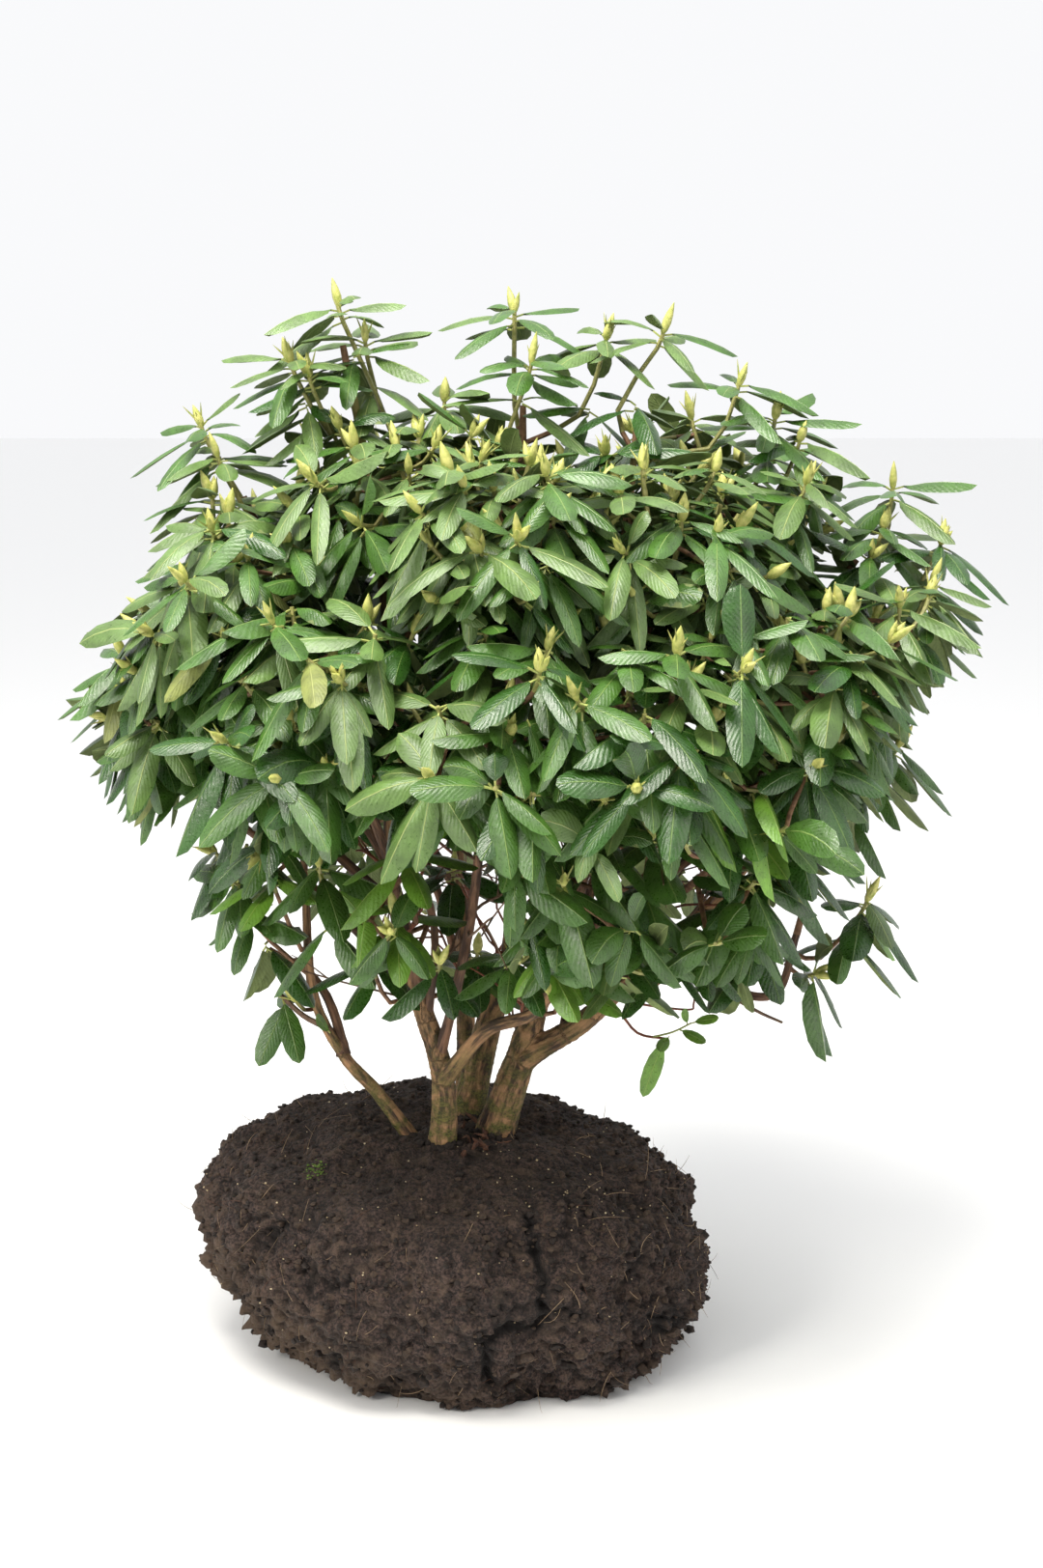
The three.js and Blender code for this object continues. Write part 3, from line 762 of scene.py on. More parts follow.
# distance to the crown's edge for each cell of a grid, above 0 inside it
def measureCrown():
    corners = crownEdge["corners"]
    steps = [np.arange(*crownEdge[way], crownEdge["cell"]) for way in ("across", "rise")]
    x, z = np.meshgrid(*steps, indexing="ij")
    inside = np.zeros(x.shape, bool)
    nearest = np.full(x.shape, 9.0)
    for (ax, az), (bx, bz) in zip(corners, corners[1:] + corners[:1]):
        if az != bz:
            inside ^= ((az > z) != (bz > z)) & (x < ax + (z - az) / (bz - az) * (bx - ax))
        along = (x - ax) * (bx - ax) + (z - az) * (bz - az)
        share = np.clip(along / ((bx - ax) ** 2 + (bz - az) ** 2), 0, 1)
        away = np.hypot(x - ax - share * (bx - ax), z - az - share * (bz - az))
        nearest = np.minimum(nearest, away)
    return np.where(inside, nearest, -nearest)


crownCells = measureCrown()


def crownRoom(spot):
    eye = Vector(studio["eye"])
    seen = eye + (spot - eye) * (-eye.y / (spot.y - eye.y))
    i = round((seen.x - crownEdge["across"][0]) / crownEdge["cell"])
    j = round((seen.z - crownEdge["rise"][0]) / crownEdge["cell"])
    columns, rows = crownCells.shape
    return crownCells[min(max(i, 0), columns - 1), min(max(j, 0), rows - 1)]


def makeShoot(limb, stem, share, turn, length):
    front = facing(limb["heart"])
    around = directionFrom(front, math.pi / 2, turn)
    tip = Vector(limb["heart"]) + front * (growth["bulge"] * limb["reach"] * (1 - share) * length)
    tip += around * (growth["spread"] * limb["reach"] * math.sqrt(share) * length)
    start = stem[0].lerp(stem[1], mix((growth["firstFork"], growth["lastFork"]), share))
    bend = start.lerp(tip, growth["twigBend"])
    bend -= up * (growth["twigSag"] * (tip - start).length)
    return start, bend, tip


# the smooth line of a shoot, whose end turns towards its own axis
def shootLine(start, bend, tip, lift):
    axis = ((tip - bend).normalized() + up * lift).normalized()
    rough = [start, bend, tip - axis * growth["straight"], tip]
    line = [smoothPoint(rough, share) for share in (0, 0.17, 0.33, 0.5, 0.67, 0.85, 1)]
    return {"line": line, "tip": tip, "axis": axis}


def isClear(name, line, slack):
    for spot in line[2:]:
        if limbRoom(spot) < growth["limbGap"] or inClearing(spot) or not inSpace(name, spot, slack):
            return False
    return not tooLow(line[-1])


tips, shoots = [], []


def tipsApart(tip):
    return all((tip - other).length > growth["tipSpacing"] for other in tips)


# notes where a shoot ends; order is 0 for the solids' own, 1 for side shoots, 2 for inner ones
def keepShoot(shoot, start, mass, order, **more):
    tips.append(shoot["tip"])
    return shoot | {"mass": mass, "order": order, "length": (shoot["tip"] - start).length} | more


for tip, bend, *tone in standing + underneath:
    start = limbTree.find(bend)[0]
    shoot = shootLine(start, Vector(bend), Vector(tip), growth["shootLift"])
    owner = min(hearts, key=lambda name: (hearts[name] - shoot["tip"]).length)
    more = {"single": True, "stands": len(shoots) < len(standing)} | ({"tone": tone[0]} if tone else {})
    shoots.append(keepShoot(shoot, start, owner, 0, **more))


def growMass(index, name):
    limb = limbs[name]
    random = seededRandom(growth["seedStep"] * (index + 1))
    finer = seededRandom(growth["seedStep"] * (index + 1) + 31)
    steps = 2 * (len(limb["via"]) + 1) if "via" in limb else 3
    end = limbPoint(name, 1)
    forward = (end - limbPoint(name, 1 - 1 / steps)).normalized()
    stem = (end, end + forward * (growth["stemShare"] * limb["reach"]))
    mains, others = [], []
    shootCount = round(limb["reach"] / growth["shootSpacing"])
    for i in range(shootCount):
        share = (i + 0.2) / shootCount
        turn = i * goldenAngle + growth["twigSwing"] * random()
        length = uneven(random())
        for _ in range(1 + 3 * growth["leaves"]):
            random()  # the solids' leaves use these up
        for attempt in range(growth["tries"]):
            swing = growth["shootTurn"] * attempt * (1 if attempt % 2 else -1)
            shorter = 1 - growth["shootShorter"] * attempt
            start, bend, tip = makeShoot(limb, stem, share, turn + swing, length * shorter)
            shoot = shootLine(start, bend, tip, growth["shootLift"])
            if isClear(name, shoot["line"], growth["ownSpace"]):
                break
        else:
            continue
        edgeGap = growth["leader"] * finer()
        outer = tip + shoot["axis"] * edgeGap
        if inReach(outer + shoot["axis"] * growth["leaderRoom"]):
            tip = outer
        dead = finer() > byHeight(growth["alive"], limb["heart"][2])
        if dead or crownRoom(tip) < edgeGap or not tipsApart(tip):
            continue
        shoot = shootLine(start, bend, tip, growth["shootLift"])
        mains.append(keepShoot(shoot, start, name, 0))
    sideShoots = round(float(byHeight(growth["sideShoots"], limb["heart"][2])))
    for main in mains:
        turn = finer() * 2 * math.pi
        for _ in range(sideShoots):
            for attempt in range(growth["tries"]):
                across = directionFrom(main["axis"], math.pi / 2, turn + 0.5 * (finer() - 0.5))
                reach = mix(growth["sideReach"], finer()) * (1 - 0.05 * attempt)
                tip = main["tip"] + across * reach - main["axis"] * mix(growth["sideDrop"], finer())
                start = smoothPoint(main["line"], mix(growth["sideFork"], finer()))
                bend = start.lerp(tip, 0.55) - up * 0.1 * (tip - start).length
                shoot = shootLine(start, bend, tip, growth["shootLift"] * 0.8)
                shoot["axis"] = (shoot["axis"] + main["axis"] * 0.5).normalized()
                room = tipsApart(tip) and inReach(tip)
                room = room and crownRoom(tip) > crownEdge["shootGap"] * finer()
                if room and isClear(name, shoot["line"], growth["overlap"]):
                    others.append(keepShoot(shoot, start, name, 1))
                    turn += 2 * math.pi / sideShoots
                    break
                turn += 0.5
    for j in range(growth["innerShoots"]):
        for _ in range(growth["tries"]):
            at = mix(growth["innerFrom"], finer())
            start = limbPoint(name, at)
            along = (limbPoint(name, min(1, at + 0.03)) - limbPoint(name, at - 0.03)).normalized()
            way = directionFrom(along, 0.8 + 0.5 * finer(), j * goldenAngle + finer())
            tip = start + way * mix(growth["innerLength"], finer()) + up * 0.02
            shoot = shootLine(start, start.lerp(tip, 0.5) - up * 0.008, tip, 0.3)
            room = tipsApart(tip) and crownRoom(tip) > 0 and tip.z > growth["innerAbove"]
            if room and isClear(name, shoot["line"][1:], growth["innerOverlap"]):
                others.append(keepShoot(shoot, start, name, 2))
                break
    return stem, mains + others


massStems = {}
for index, name in enumerate(limbs):
    massStems[name], grown = growMass(index, name)
    shoots += grown
print("shoots:", len(shoots))


# ---- where there is still room: points kept by the cell that they lie in ----
cellSize = 0.011
cells = {}


def cellOf(spot):
    return tuple(math.floor(value / cellSize) for value in spot)


def take(spot, owner):
    cells.setdefault(cellOf(spot), []).append((spot, owner))


def isFree(spot, owner, gap):
    a, b, c = cellOf(spot)
    for i in (a - 1, a, a + 1):
        for j in (b - 1, b, b + 1):
            for k in (c - 1, c, c + 1):
                for other, holder in cells.get((i, j, k), ()):
                    if holder != owner and (other - spot).length < gap:
                        return False
    return True


for number, shoot in enumerate(shoots):
    count = max(4, round(shoot["length"] / 0.009))
    for i in range(count + 1):
        take(smoothPoint(shoot["line"], i / count), number)

# single thin branches that stand clear of the foliage: radius of each end, tone and points
loneTwigs = [
    (0.0028, 0.002, 1, (0.2, -0.05, 0.6), (0.266, -0.06, 0.574), (0.305, -0.06, 0.53),
     (0.352, -0.06, 0.52)),
    (0.002, 0.0016, 2, (0.33, -0.06, 0.523), (0.362, -0.062, 0.532), (0.392, -0.064, 0.548)),
    (0.0028, 0.0015, 1, (0.235, -0.055, 0.6), (0.258, -0.06, 0.595), (0.312, -0.06, 0.578),
     (0.386, -0.06, 0.569), (0.395, -0.06, 0.578), (0.397, -0.06, 0.604)),
    (0.0042, 0.0022, 0, (0.351, -0.05, 0.656), (0.398, -0.05, 0.624), (0.492, -0.05, 0.567),
     (0.54, -0.05, 0.544)),
    (0.0052, 0.0038, 0, (-0.19, -0.058, 0.535), (-0.235, -0.05, 0.556), (-0.275, -0.03, 0.587)),
]


# their leaves, from foot to tip, with width as a share of length and colour
loneLeaves = [
    ((0.35, -0.06, 0.521), (0.319, -0.075, 0.438), 0.33, 3),
    ((0.357, -0.061, 0.525), (0.338, -0.1, 0.513), 0.45, 3),
    ((0.372, -0.062, 0.537), (0.412, -0.085, 0.522), 0.45, 3),
    ((0.392, -0.064, 0.548), (0.437, -0.075, 0.561), 0.4, 3),
    ((0.386, -0.064, 0.545), (0.378, -0.07, 0.578), 0.45, 3),
    ((-0.19, -0.06, 0.53), (-0.213, -0.09, 0.572), 0.4, 3),
    ((-0.262, -0.036, 0.577), (-0.3, -0.075, 0.49), 0.38, 1),
    ((-0.27, -0.034, 0.582), (-0.242, -0.085, 0.498), 0.38, 1),
]

# ---- leaves ----
leaf = {
    "length": {0.7: 0.113, 1.0: 0.128, 1.25: 0.138},  # by height
    # least and most width, of the length, by height
    "width": {0.7: (0.4, 0.5), 1.0: (0.34, 0.43), 1.35: (0.26, 0.34)},
    "thickness": 0.0011,
    # share of the length, and of the half width there
    "outline": [
        (0, 0.075), (0.13, 0.08), (0.21, 0.5), (0.38, 0.88), (0.58, 1), (0.8, 0.88), (0.94, 0.52),
    ],
    "roll": (0.3, 0.9),  # how far the edges turn down, of the half width
    "groove": 0.0029,
    "arch": (0.35, 1.15),
    "perWhorl": {0.7: (4, 7), 1.0: (6, 8), 1.2: (7, 9)},
    "angle": 1.0,  # from the shoot, of the topmost leaf of a ring
    "apart": 0.0032,  # from leaf to leaf down the shoot
    "uneven": 0.42,
    "hang": (0.42, 0),  # how far leaves hang at the crown's foot and top
    "ownColour": 0.13,  # share of the leaves with another green than their shoot's
    "yellowFrom": 0.992,  # chances over this are yellow leaves, and then dead ones
    "deadFrom": 0.9985,
    "spacing": 0.0085,
    "limbGap": 0.004,
    "overlap": 0.055,  # how far a leaf may reach into the next mass's space
    "tries": 7,
    # share of the shoots that keep some of last year's leaves, and of the year before
    "older": {0.75: (0.25, 0.1), 1.0: (0.75, 0.4), 1.2: (0.9, 0.5)},
}
leafTests = [(s, u) for s in (0.35, 0.55, 0.75, 0.95) for u in (-0.6, 0.6)]


# the middle line and direction of a leaf at a share of its length
def leafSpine(blade, share):
    drop = 0.5 * blade["arch"] * share * share
    spot = blade["foot"] + (blade["heading"] * share - up * drop) * blade["length"]
    return spot, (blade["heading"] - up * (blade["arch"] * share)).normalized()


def leafFits(blade, shoot, owner):
    single, stands = shoot.get("single", False), shoot.get("stands", False)
    for share, side in leafTests:
        spot, forward = leafSpine(blade, share)
        across = forward.cross(blade["face"]).normalized()
        spot += across * (side * 0.4 * blade["length"] * blade["width"])
        if not inReach(spot):
            return False
        outside = tooLow(spot, growth["lowest"]["single"] * single)
        outside = outside or crownRoom(spot) < -crownEdge["leafGap"]
        if outside and not stands or inClearing(spot) and not single:
            return False
        if limbRoom(spot) < leaf["limbGap"] or not isFree(spot, owner, leaf["spacing"]):
            return False
    return single or inSpace(shoot["mass"], leafSpine(blade, 0.9)[0], leaf["overlap"])


def keepLeaf(blade, owner):
    for share in (0.3, 0.45, 0.6, 0.75, 0.9):
        spot, forward = leafSpine(blade, share)
        across = forward.cross(blade["face"]).normalized()
        half = 0.5 * blade["length"] * blade["width"]
        for side in (-0.65, 0, 0.65):
            take(spot + across * (side * half), owner)


# how likely each leaf colour is, by height; the first, a pale grey-green, is the leaves' green with a
# painted sheen and takes over towards the top
toneShares = {
    0.6: (0.02, 0.38, 0.54, 0.06, 0, 0),
    1.0: (0.07, 0.53, 0.38, 0.02, 0, 0),
    1.3: (0.44, 0.45, 0.11, 0, 0, 0),
    1.7: (0.6, 0.36, 0.04, 0, 0, 0),
}


def pickTone(height, chance):
    for tone, part in enumerate(byHeight(toneShares, height)):
        chance -= part
        if chance < 0:
            return tone
    return 1


# one ring of leaves round a shoot, some way down from its tip
def growWhorl(number, shoot, random, down, count, angle, drop):
    made = []
    axis, level = shoot["axis"], shoot["tip"].z
    turn = random() * 2 * math.pi
    tone = shoot.get("tone", pickTone(level, random()))
    # painted shade: leaves of the inner shoots, deep in the crown, get the darker greens
    if shoot["order"] == 2:
        tone = 1 if tone == 0 else 2
    for k in range(count):
        foot = shoot["tip"] - axis * (down + leaf["apart"] * k)
        hang = mix(leaf["hang"], min(1, max(0, level - 0.55))) + drop + 0.2 * random()
        length = byHeight(leaf["length"], level)
        length *= (1 + leaf["uneven"] * (random() - 0.6)) * (1 - 0.012 * k)
        width = mix(byHeight(leaf["width"], level), random())
        arch, roll = mix(leaf["arch"], random()), random()
        lean = angle + 0.5 * k / count + 0.2 * (random() - 0.5)
        own, odd, twist = random(), random(), random() - 0.5
        for attempt in range(leaf["tries"]):
            swing = 0.14 * attempt * (1 if attempt % 2 else -1)
            heading = directionFrom(axis, lean + 0.04 * attempt, turn + k * goldenAngle + swing)
            heading = (heading - up * (hang + 0.05 * attempt)).normalized()
            face = squareTo(heading, axis * 0.75 + up * 0.65 + heading.cross(up) * (0.5 * twist))
            blade = {
                "foot": foot, "heading": heading, "face": face, "width": width, "arch": arch,
                "roll": mix(leaf["roll"], roll * roll), "tone": tone,
                "length": length * (1 - 0.04 * attempt) * (1 - 0.13 * arch),
            }
            if leafFits(blade, shoot, number):
                if odd < leaf["ownColour"]:
                    blade["tone"] = pickTone(level, own)
                elif odd > leaf["yellowFrom"] and "single" not in shoot:
                    blade["tone"] = 4 if odd < leaf["deadFrom"] else 5
                keepLeaf(blade, number)
                made.append(blade)
                break
    return made


def growLeaves():
    grown = {"top": [], "left": [], "right": [], "front": [], "back": []}
    for number, shoot in enumerate(shoots):
        random = seededRandom(7919 * (number + 1))
        side = sideOf[shoot["mass"]]
        count = round(mix(byHeight(leaf["perWhorl"], shoot["tip"].z), random()))
        grown[side] += growWhorl(number, shoot, random, 0.002, count, leaf["angle"], 0)
        # what is left of last year's leaves and of those before
        for start, keep in zip((0.05, 0.105), byHeight(leaf["older"], shoot["tip"].z)):
            down = start + 0.04 * random()
            if random() < keep and down < 0.75 * shoot["length"]:
                count = 3 + round(2.2 * random())
                grown[side] += growWhorl(number, shoot, random, down, count, 1.2, 0.1)
    grown["front"] += [loneBlade(*given) for given in loneLeaves]
    return grown


def loneBlade(foot, tip, width, tone):
    way = Vector(tip) - Vector(foot)
    heading = (way + up * (0.15 * way.length)).normalized()
    face = squareTo(heading, Vector((0.15, -0.6, 0.8)))
    blade = {"foot": Vector(foot), "heading": heading, "face": face, "width": width, "tone": tone}
    return blade | {"arch": 0.3, "roll": 0.2, "length": way.length}


# the top and four sides that the masses are divided over
def sideFor(heart):
    if heart.z > 1.35:
        return "top"
    away = heart - Vector(growth["crownCore"])
    if abs(away.y) > 0.8 * abs(away.x):
        return "front" if away.y < 0 else "back"
    return "left" if away.x < 0 else "right"


sideOf = {name: sideFor(heart) for name, heart in hearts.items()}


# all blades at once, from one ring of points repeated along each middle line
def pourLeaves(heap, blades, toneCount):
    shares, widths = np.array(leaf["outline"]).T

    def rowsOf(*keys):
        return (np.array([blade[key] for blade in blades]) for key in keys)

    foot, heading, face, tones = rowsOf("foot", "heading", "face", "tone")
    length, width, arch, roll = (row[:, None] for row in rowsOf("length", "width", "arch", "roll"))
    rise = np.array(up)
    ringU = np.array([-1, -0.5, 0, 0.5, 1, 0.5, 0, -0.5])
    under = np.array([0, 0, 0, 0, 0, 1, 1, 1])
    rows = []
    for share, half in zip((*shares, 1), (*widths, 0)):
        spot = foot + length * (heading * share - rise * (0.5 * arch * share * share))
        forward = heading - rise * (arch * share)
        forward /= np.linalg.norm(forward, axis=1, keepdims=True)
        across = np.cross(forward, face)
        across /= np.linalg.norm(across, axis=1, keepdims=True)
        top = np.cross(across, forward)
        if half == 0:
            rows.append(spot[:, None, :])
            break
        reach = 0.5 * half * length * width
        blade = share > 0.15
        low = roll * reach * np.abs(ringU) ** 1.5 * blade
        low = low + leaf["groove"] * (ringU == 0) * blade * (1 - share)
        low = low + under * (leaf["thickness"] + 0.0016 * (1 - blade))
        ring = spot[:, None, :] + across[:, None, :] * (reach * ringU)[:, :, None]
        rows.append(ring - top[:, None, :] * low[:, :, None])
    corners = np.concatenate(rows, axis=1)
    each = corners.shape[1]
    last = len(shares) - 1
    j = np.arange(8)
    following = (j + 1) % 8
    quads = np.concatenate(
        [np.stack([j, j + 8, following + 8, following], 1) + 8 * i for i in range(last)]
    )
    tips = np.stack([j + 8 * last, np.full(8, 8 * (last + 1)), following + 8 * last], 1)
    ends = j[None, :]
    # the stalk, then the upper and under sides of the blade
    upper = np.where(np.tile(j < 4, last), -1, toneCount)
    upper[:8] = toneCount + 1
    starts = (np.arange(len(blades)) * each)[:, None, None]

    def slotsFor(pattern):
        return np.where(pattern[None, :] < 0, tones[:, None], pattern[None, :]).ravel()

    uv = np.zeros((each, 2))
    uv[:-1, 0] = np.tile((ringU + 1) / 2, last + 1)
    uv[:-1, 1] = np.repeat(shares, 8)
    uv[-1] = (0.5, 1)
    sets = [
        ((quads[None] + starts).reshape(-1, 4), slotsFor(upper)),
        ((tips[None] + starts).reshape(-1, 3), slotsFor(np.where(j < 4, -1, toneCount))),
        ((ends[None] + starts).reshape(-1, 8), toneCount + 1),
    ]
    pour(heap, corners.reshape(-1, 3), sets, np.tile(uv, (len(blades), 1)))


# colour, rib, and least and most roughness
leafColours = {
    # painted sheen: this pale grey-green paints the sky's sheen on the upper leaves into their green
    "leafPaintedSheen": ((0.088, 0.16, 0.034), (0.28, 0.35, 0.11), (0.2, 0.46)),
    "leafMid": ((0.047, 0.122, 0.014), (0.18, 0.28, 0.07), (0.12, 0.4)),
    "leafDark": ((0.023, 0.079, 0.008), (0.12, 0.21, 0.045), (0.09, 0.33)),
    "leafBright": ((0.13, 0.28, 0.025), (0.28, 0.42, 0.08), (0.2, 0.42)),
    "leafOlive": ((0.19, 0.22, 0.05), (0.33, 0.36, 0.12), (0.3, 0.55)),
    "leafOld": ((0.16, 0.065, 0.03), (0.27, 0.13, 0.06), (0.4, 0.65)),
    "leafUnder": ((0.16, 0.21, 0.065), (0.3, 0.36, 0.14), (0.6, 0.8)),
}


def leafMaterial(name, colour, rib, gloss):
    material, tree, shader = newMaterial(name)
    place = addNode(tree, "TexCoord").outputs["Object"]
    vein = placeGroup(tree, veins, addNode(tree, "UVMap", uv_map="ownUv").outputs["UV"])
    # slow change of green from leaf to leaf and along each, with small dark spots
    deep, pale = (tuple(value * part for value in colour) for part in (0.72, 1.3))
    cloud = mottled(tree, place, 26, 0.34, 0.66, deep, pale)
    spots = mottled(tree, place, 290, 0.3, 0.46, (0.55, 0.62, 0.5))
    spotted = blend(tree, 1, cloud["Colour"], spots["Colour"], blend_type="MULTIPLY")
    # wet sheen in streaks
    sheen = ramp(tree, spots["Mask"], 0, 1, *gloss)
    setInputs(shader, {"Base Color": blend(tree, vein["Rib"], spotted, rib), "Roughness": sheen})
    setInputs(shader, {"Specular IOR Level": 0.78})
    rough = placeGroup(tree, grain, place, Swell=110, Grain=340)
    skin = maths(tree, "MULTIPLY_ADD", rough["Height"], 0.9, vein["Height"])
    addBump(tree, shader, skin, 0.6, 0.0017)
    return material


leafMaterials = [leafMaterial(name, *look) for name, look in leafColours.items()]


# young wood, stalks and buds share one soft rough finish in their own colours
def softMaterial(name, colour, second, roughness, scale):
    material, tree, shader = newMaterial(name)
    place = addNode(tree, "TexCoord").outputs["Object"]
    cloud = mottled(tree, place, scale, 0.35, 0.65, colour, second)
    setInputs(shader, {"Base Color": cloud["Colour"], "Roughness": roughness})
    rough = placeGroup(tree, grain, place, Swell=160, Grain=700)
    addBump(tree, shader, rough["Height"], 0.4, 0.0008)
    return material


leafMaterials.append(softMaterial("stalk", (0.3, 0.36, 0.09), (0.4, 0.42, 0.13), 0.5, 90))


def makeLeaves():
    total = 0
    for side, blades in growLeaves().items():
        heap = newHeap()
        pourLeaves(heap, blades, len(leafColours) - 1)
        leaves = pieceFrom(heap, "leaves_" + side, leafMaterials, 38)
        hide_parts(*[massNames[name] for name in limbs if sideOf[name] == side])
        total += len(blades)
    print("leaves:", total)


makeLeaves()


# ---- twigs ----
twig = {
    "foot": 0.0043,
    "tip": 0.0033,
    "sideFoot": 0.0036,
    "sides": 6,
    "woodPart": {1.0: 4, 1.3: 1},  # of its six stretches are brown, by height
}


def makeTwigs():
    heap = newHeap()
    for shoot in shoots:
        foot = twig["sideFoot"] if shoot["order"] else twig["foot"]
        radii = [mix((foot, twig["tip"]), i / 6) for i in range(7)]
        slots = [0 if i < byHeight(twig["woodPart"], shoot["tip"].z) else 1 for i in range(6)]
        pourTube(heap, shoot["line"], radii, twig["sides"], slots)
    for name, (start, end) in massStems.items():
        points = [start.lerp(end, i / 4) for i in range(5)]
        pourTube(heap, points, [0.0062, 0.006, 0.0057, 0.0054, 0.005], 8, [0] * 4)
    brown = softMaterial("twigBrown", (0.13, 0.062, 0.034), (0.27, 0.15, 0.08), 0.75, 120)
    green = softMaterial("twigGreen", (0.2, 0.21, 0.055), (0.36, 0.33, 0.12), 0.5, 120)
    twigs = pieceFrom(heap, "twigs", [brown, green], 60)
    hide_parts(*massNames.values())


makeTwigs()


# a smooth tube through a few points, with the radius at each of its rings
def pourTwig(heap, points, radii, sides, slot):
    count = len(radii) - 1
    curve = [smoothPoint(points, k / count) for k in range(count + 1)]
    pourTube(heap, curve, radii, sides, [slot] * count)


# dry twigs inside the lower crown, where no leaves grow
bareTwig = {
    "limbs": {"front_stem": 12, "middle_stem": 12, "right_stem": 13, "left_stem": 3, "back_stem": 8,
              "right_limb": 13, "front_limb": 7, "low_right_bough": 5, "front_middle_bough": 5,
              "front_right_bough": 5, "low_front_right_bough": 5},
    "from": (0.28, 0.8),  # of the limb's line
    "length": (0.07, 0.24),
    "radius": 0.0028,
    "lowest": 0.57,
    "highest": 0.95,
    "leftmost": -0.12,
}


def makeBareTwigs():
    heap = newHeap()
    random = seededRandom(3331)
    for name, count in bareTwig["limbs"].items():
        line = lines[name]["points"]
        for i in range(count):
            at = round(mix(bareTwig["from"], (i + random()) / count) * (len(line) - 1))
            start = line[at]
            if start.z > bareTwig["highest"] or start.x < bareTwig["leftmost"]:
                continue
            along = (line[min(at + 2, len(line) - 1)] - line[at - 2]).normalized()
            way = directionFrom(along, 0.6 + 0.6 * random(), random() * 2 * math.pi)
            length = mix(bareTwig["length"], random())
            sway = directionFrom(way, math.pi / 2, random() * 2 * math.pi) * (0.2 * length)
            points = [start, start + way * (0.35 * length) + sway * 0.3]
            points += [start + way * (0.7 * length) - sway * 0.2 + up * (0.06 * length)]
            points += [start + way * length + sway * 0.6 + up * (0.02 * length)]
            if points[-1].z < bareTwig["lowest"] or crownRoom(points[-1]) < 0.02:
                continue
            radius = bareTwig["radius"] * (0.7 + 0.6 * random())
            tone = 0 if random() < 0.45 else 1
            pourTwig(heap, points, [radius * (1 - 0.06 * k) for k in range(8)], 5, tone)
            for _ in range(1 + round(1.6 * random())):
                fork = smoothPoint(points, 0.35 + 0.5 * random())
                side = directionFrom(way, 0.5 + 0.5 * random(), random() * 2 * math.pi)
                reach = length * (0.25 + 0.3 * random())
                ends = [fork, fork + side * (0.5 * reach) + up * (0.04 * reach), fork + side * reach]
                pourTwig(heap, ends, [radius * (0.7 - 0.08 * k) for k in range(5)], 4, tone)
    for foot, end, tone, *spots in loneTwigs:
        points = [Vector(spot) for spot in spots]
        count = 4 * (len(points) - 1)
        pourTwig(heap, points, [mix((foot, end), k / count) for k in range(count + 1)], 6, tone)
    brown = softMaterial("dryBrown", (0.075, 0.04, 0.027), (0.19, 0.115, 0.07), 0.8, 130)
    red = softMaterial("dryRed", (0.13, 0.035, 0.02), (0.24, 0.08, 0.04), 0.6, 130)
    green = softMaterial("twigFresh", (0.2, 0.26, 0.06), (0.3, 0.33, 0.1), 0.5, 130)
    bare = pieceFrom(heap, "bare_twigs", [brown, red, green], 60)
    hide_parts(*massNames.values())


makeBareTwigs()


# ---- buds ----
bud = {
    "share": {0.7: 0.3, 1.0: 0.65, 1.3: 0.92},  # of the shoots, by height
    "length": (0.034, 0.05),
    "belly": 0.0076,
    "outline": [(0, 0.45), (0.12, 0.8), (0.36, 1), (0.62, 0.8), (0.85, 0.4), (1, 0.08)],
    "bractLength": (0.022, 0.044),
}


def makeBuds():
    heap = newHeap()
    for number, shoot in enumerate(shoots):
        random = seededRandom(6553 * (number + 1))
        if random() > byHeight(bud["share"], shoot["tip"].z) and "single" not in shoot:
            continue
        kind = random()
        count = 1 if kind < 0.68 else 2 if kind < 0.86 else 3
        turn = random() * 2 * math.pi
        for k in range(count):
            lean = 0.1 * random() if count == 1 else 0.25 + 0.15 * random()
            way = directionFrom(shoot["axis"], lean, turn + k * 2 * math.pi / count)
            length = mix(bud["length"], random()) * (1 if k == 0 else 0.8)
            belly = bud["belly"] * (0.8 + 0.4 * random()) * (1 if k == 0 else 0.8)
            start = shoot["tip"] - shoot["axis"] * 0.003
            points = [start + way * (share * length) for share, _ in bud["outline"]]
            pourTube(heap, points, [belly * wide for _, wide in bud["outline"]], 6, [0] * 5)
        if random() < 0.6:
            for k in range(3 + round(2 * random())):
                way = directionFrom(shoot["axis"], 0.3 + 0.3 * random(), turn + k * goldenAngle)
                length = mix(bud["bractLength"], random())
                points = [shoot["tip"] + way * (share * length) for share in (0, 0.35, 0.7, 1)]
                pourTube(heap, points, [0.0012, 0.0021, 0.0015, 0.0003], 3, [1] * 3)
    green = softMaterial("budGreen", (0.34, 0.38, 0.08), (0.6, 0.57, 0.19), 0.5, 110)
    scale = softMaterial("budScale", (0.27, 0.33, 0.08), (0.45, 0.42, 0.14), 0.6, 110)
    buds = pieceFrom(heap, "buds", [green, scale], 60)
    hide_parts(*massNames.values())


makeBuds()


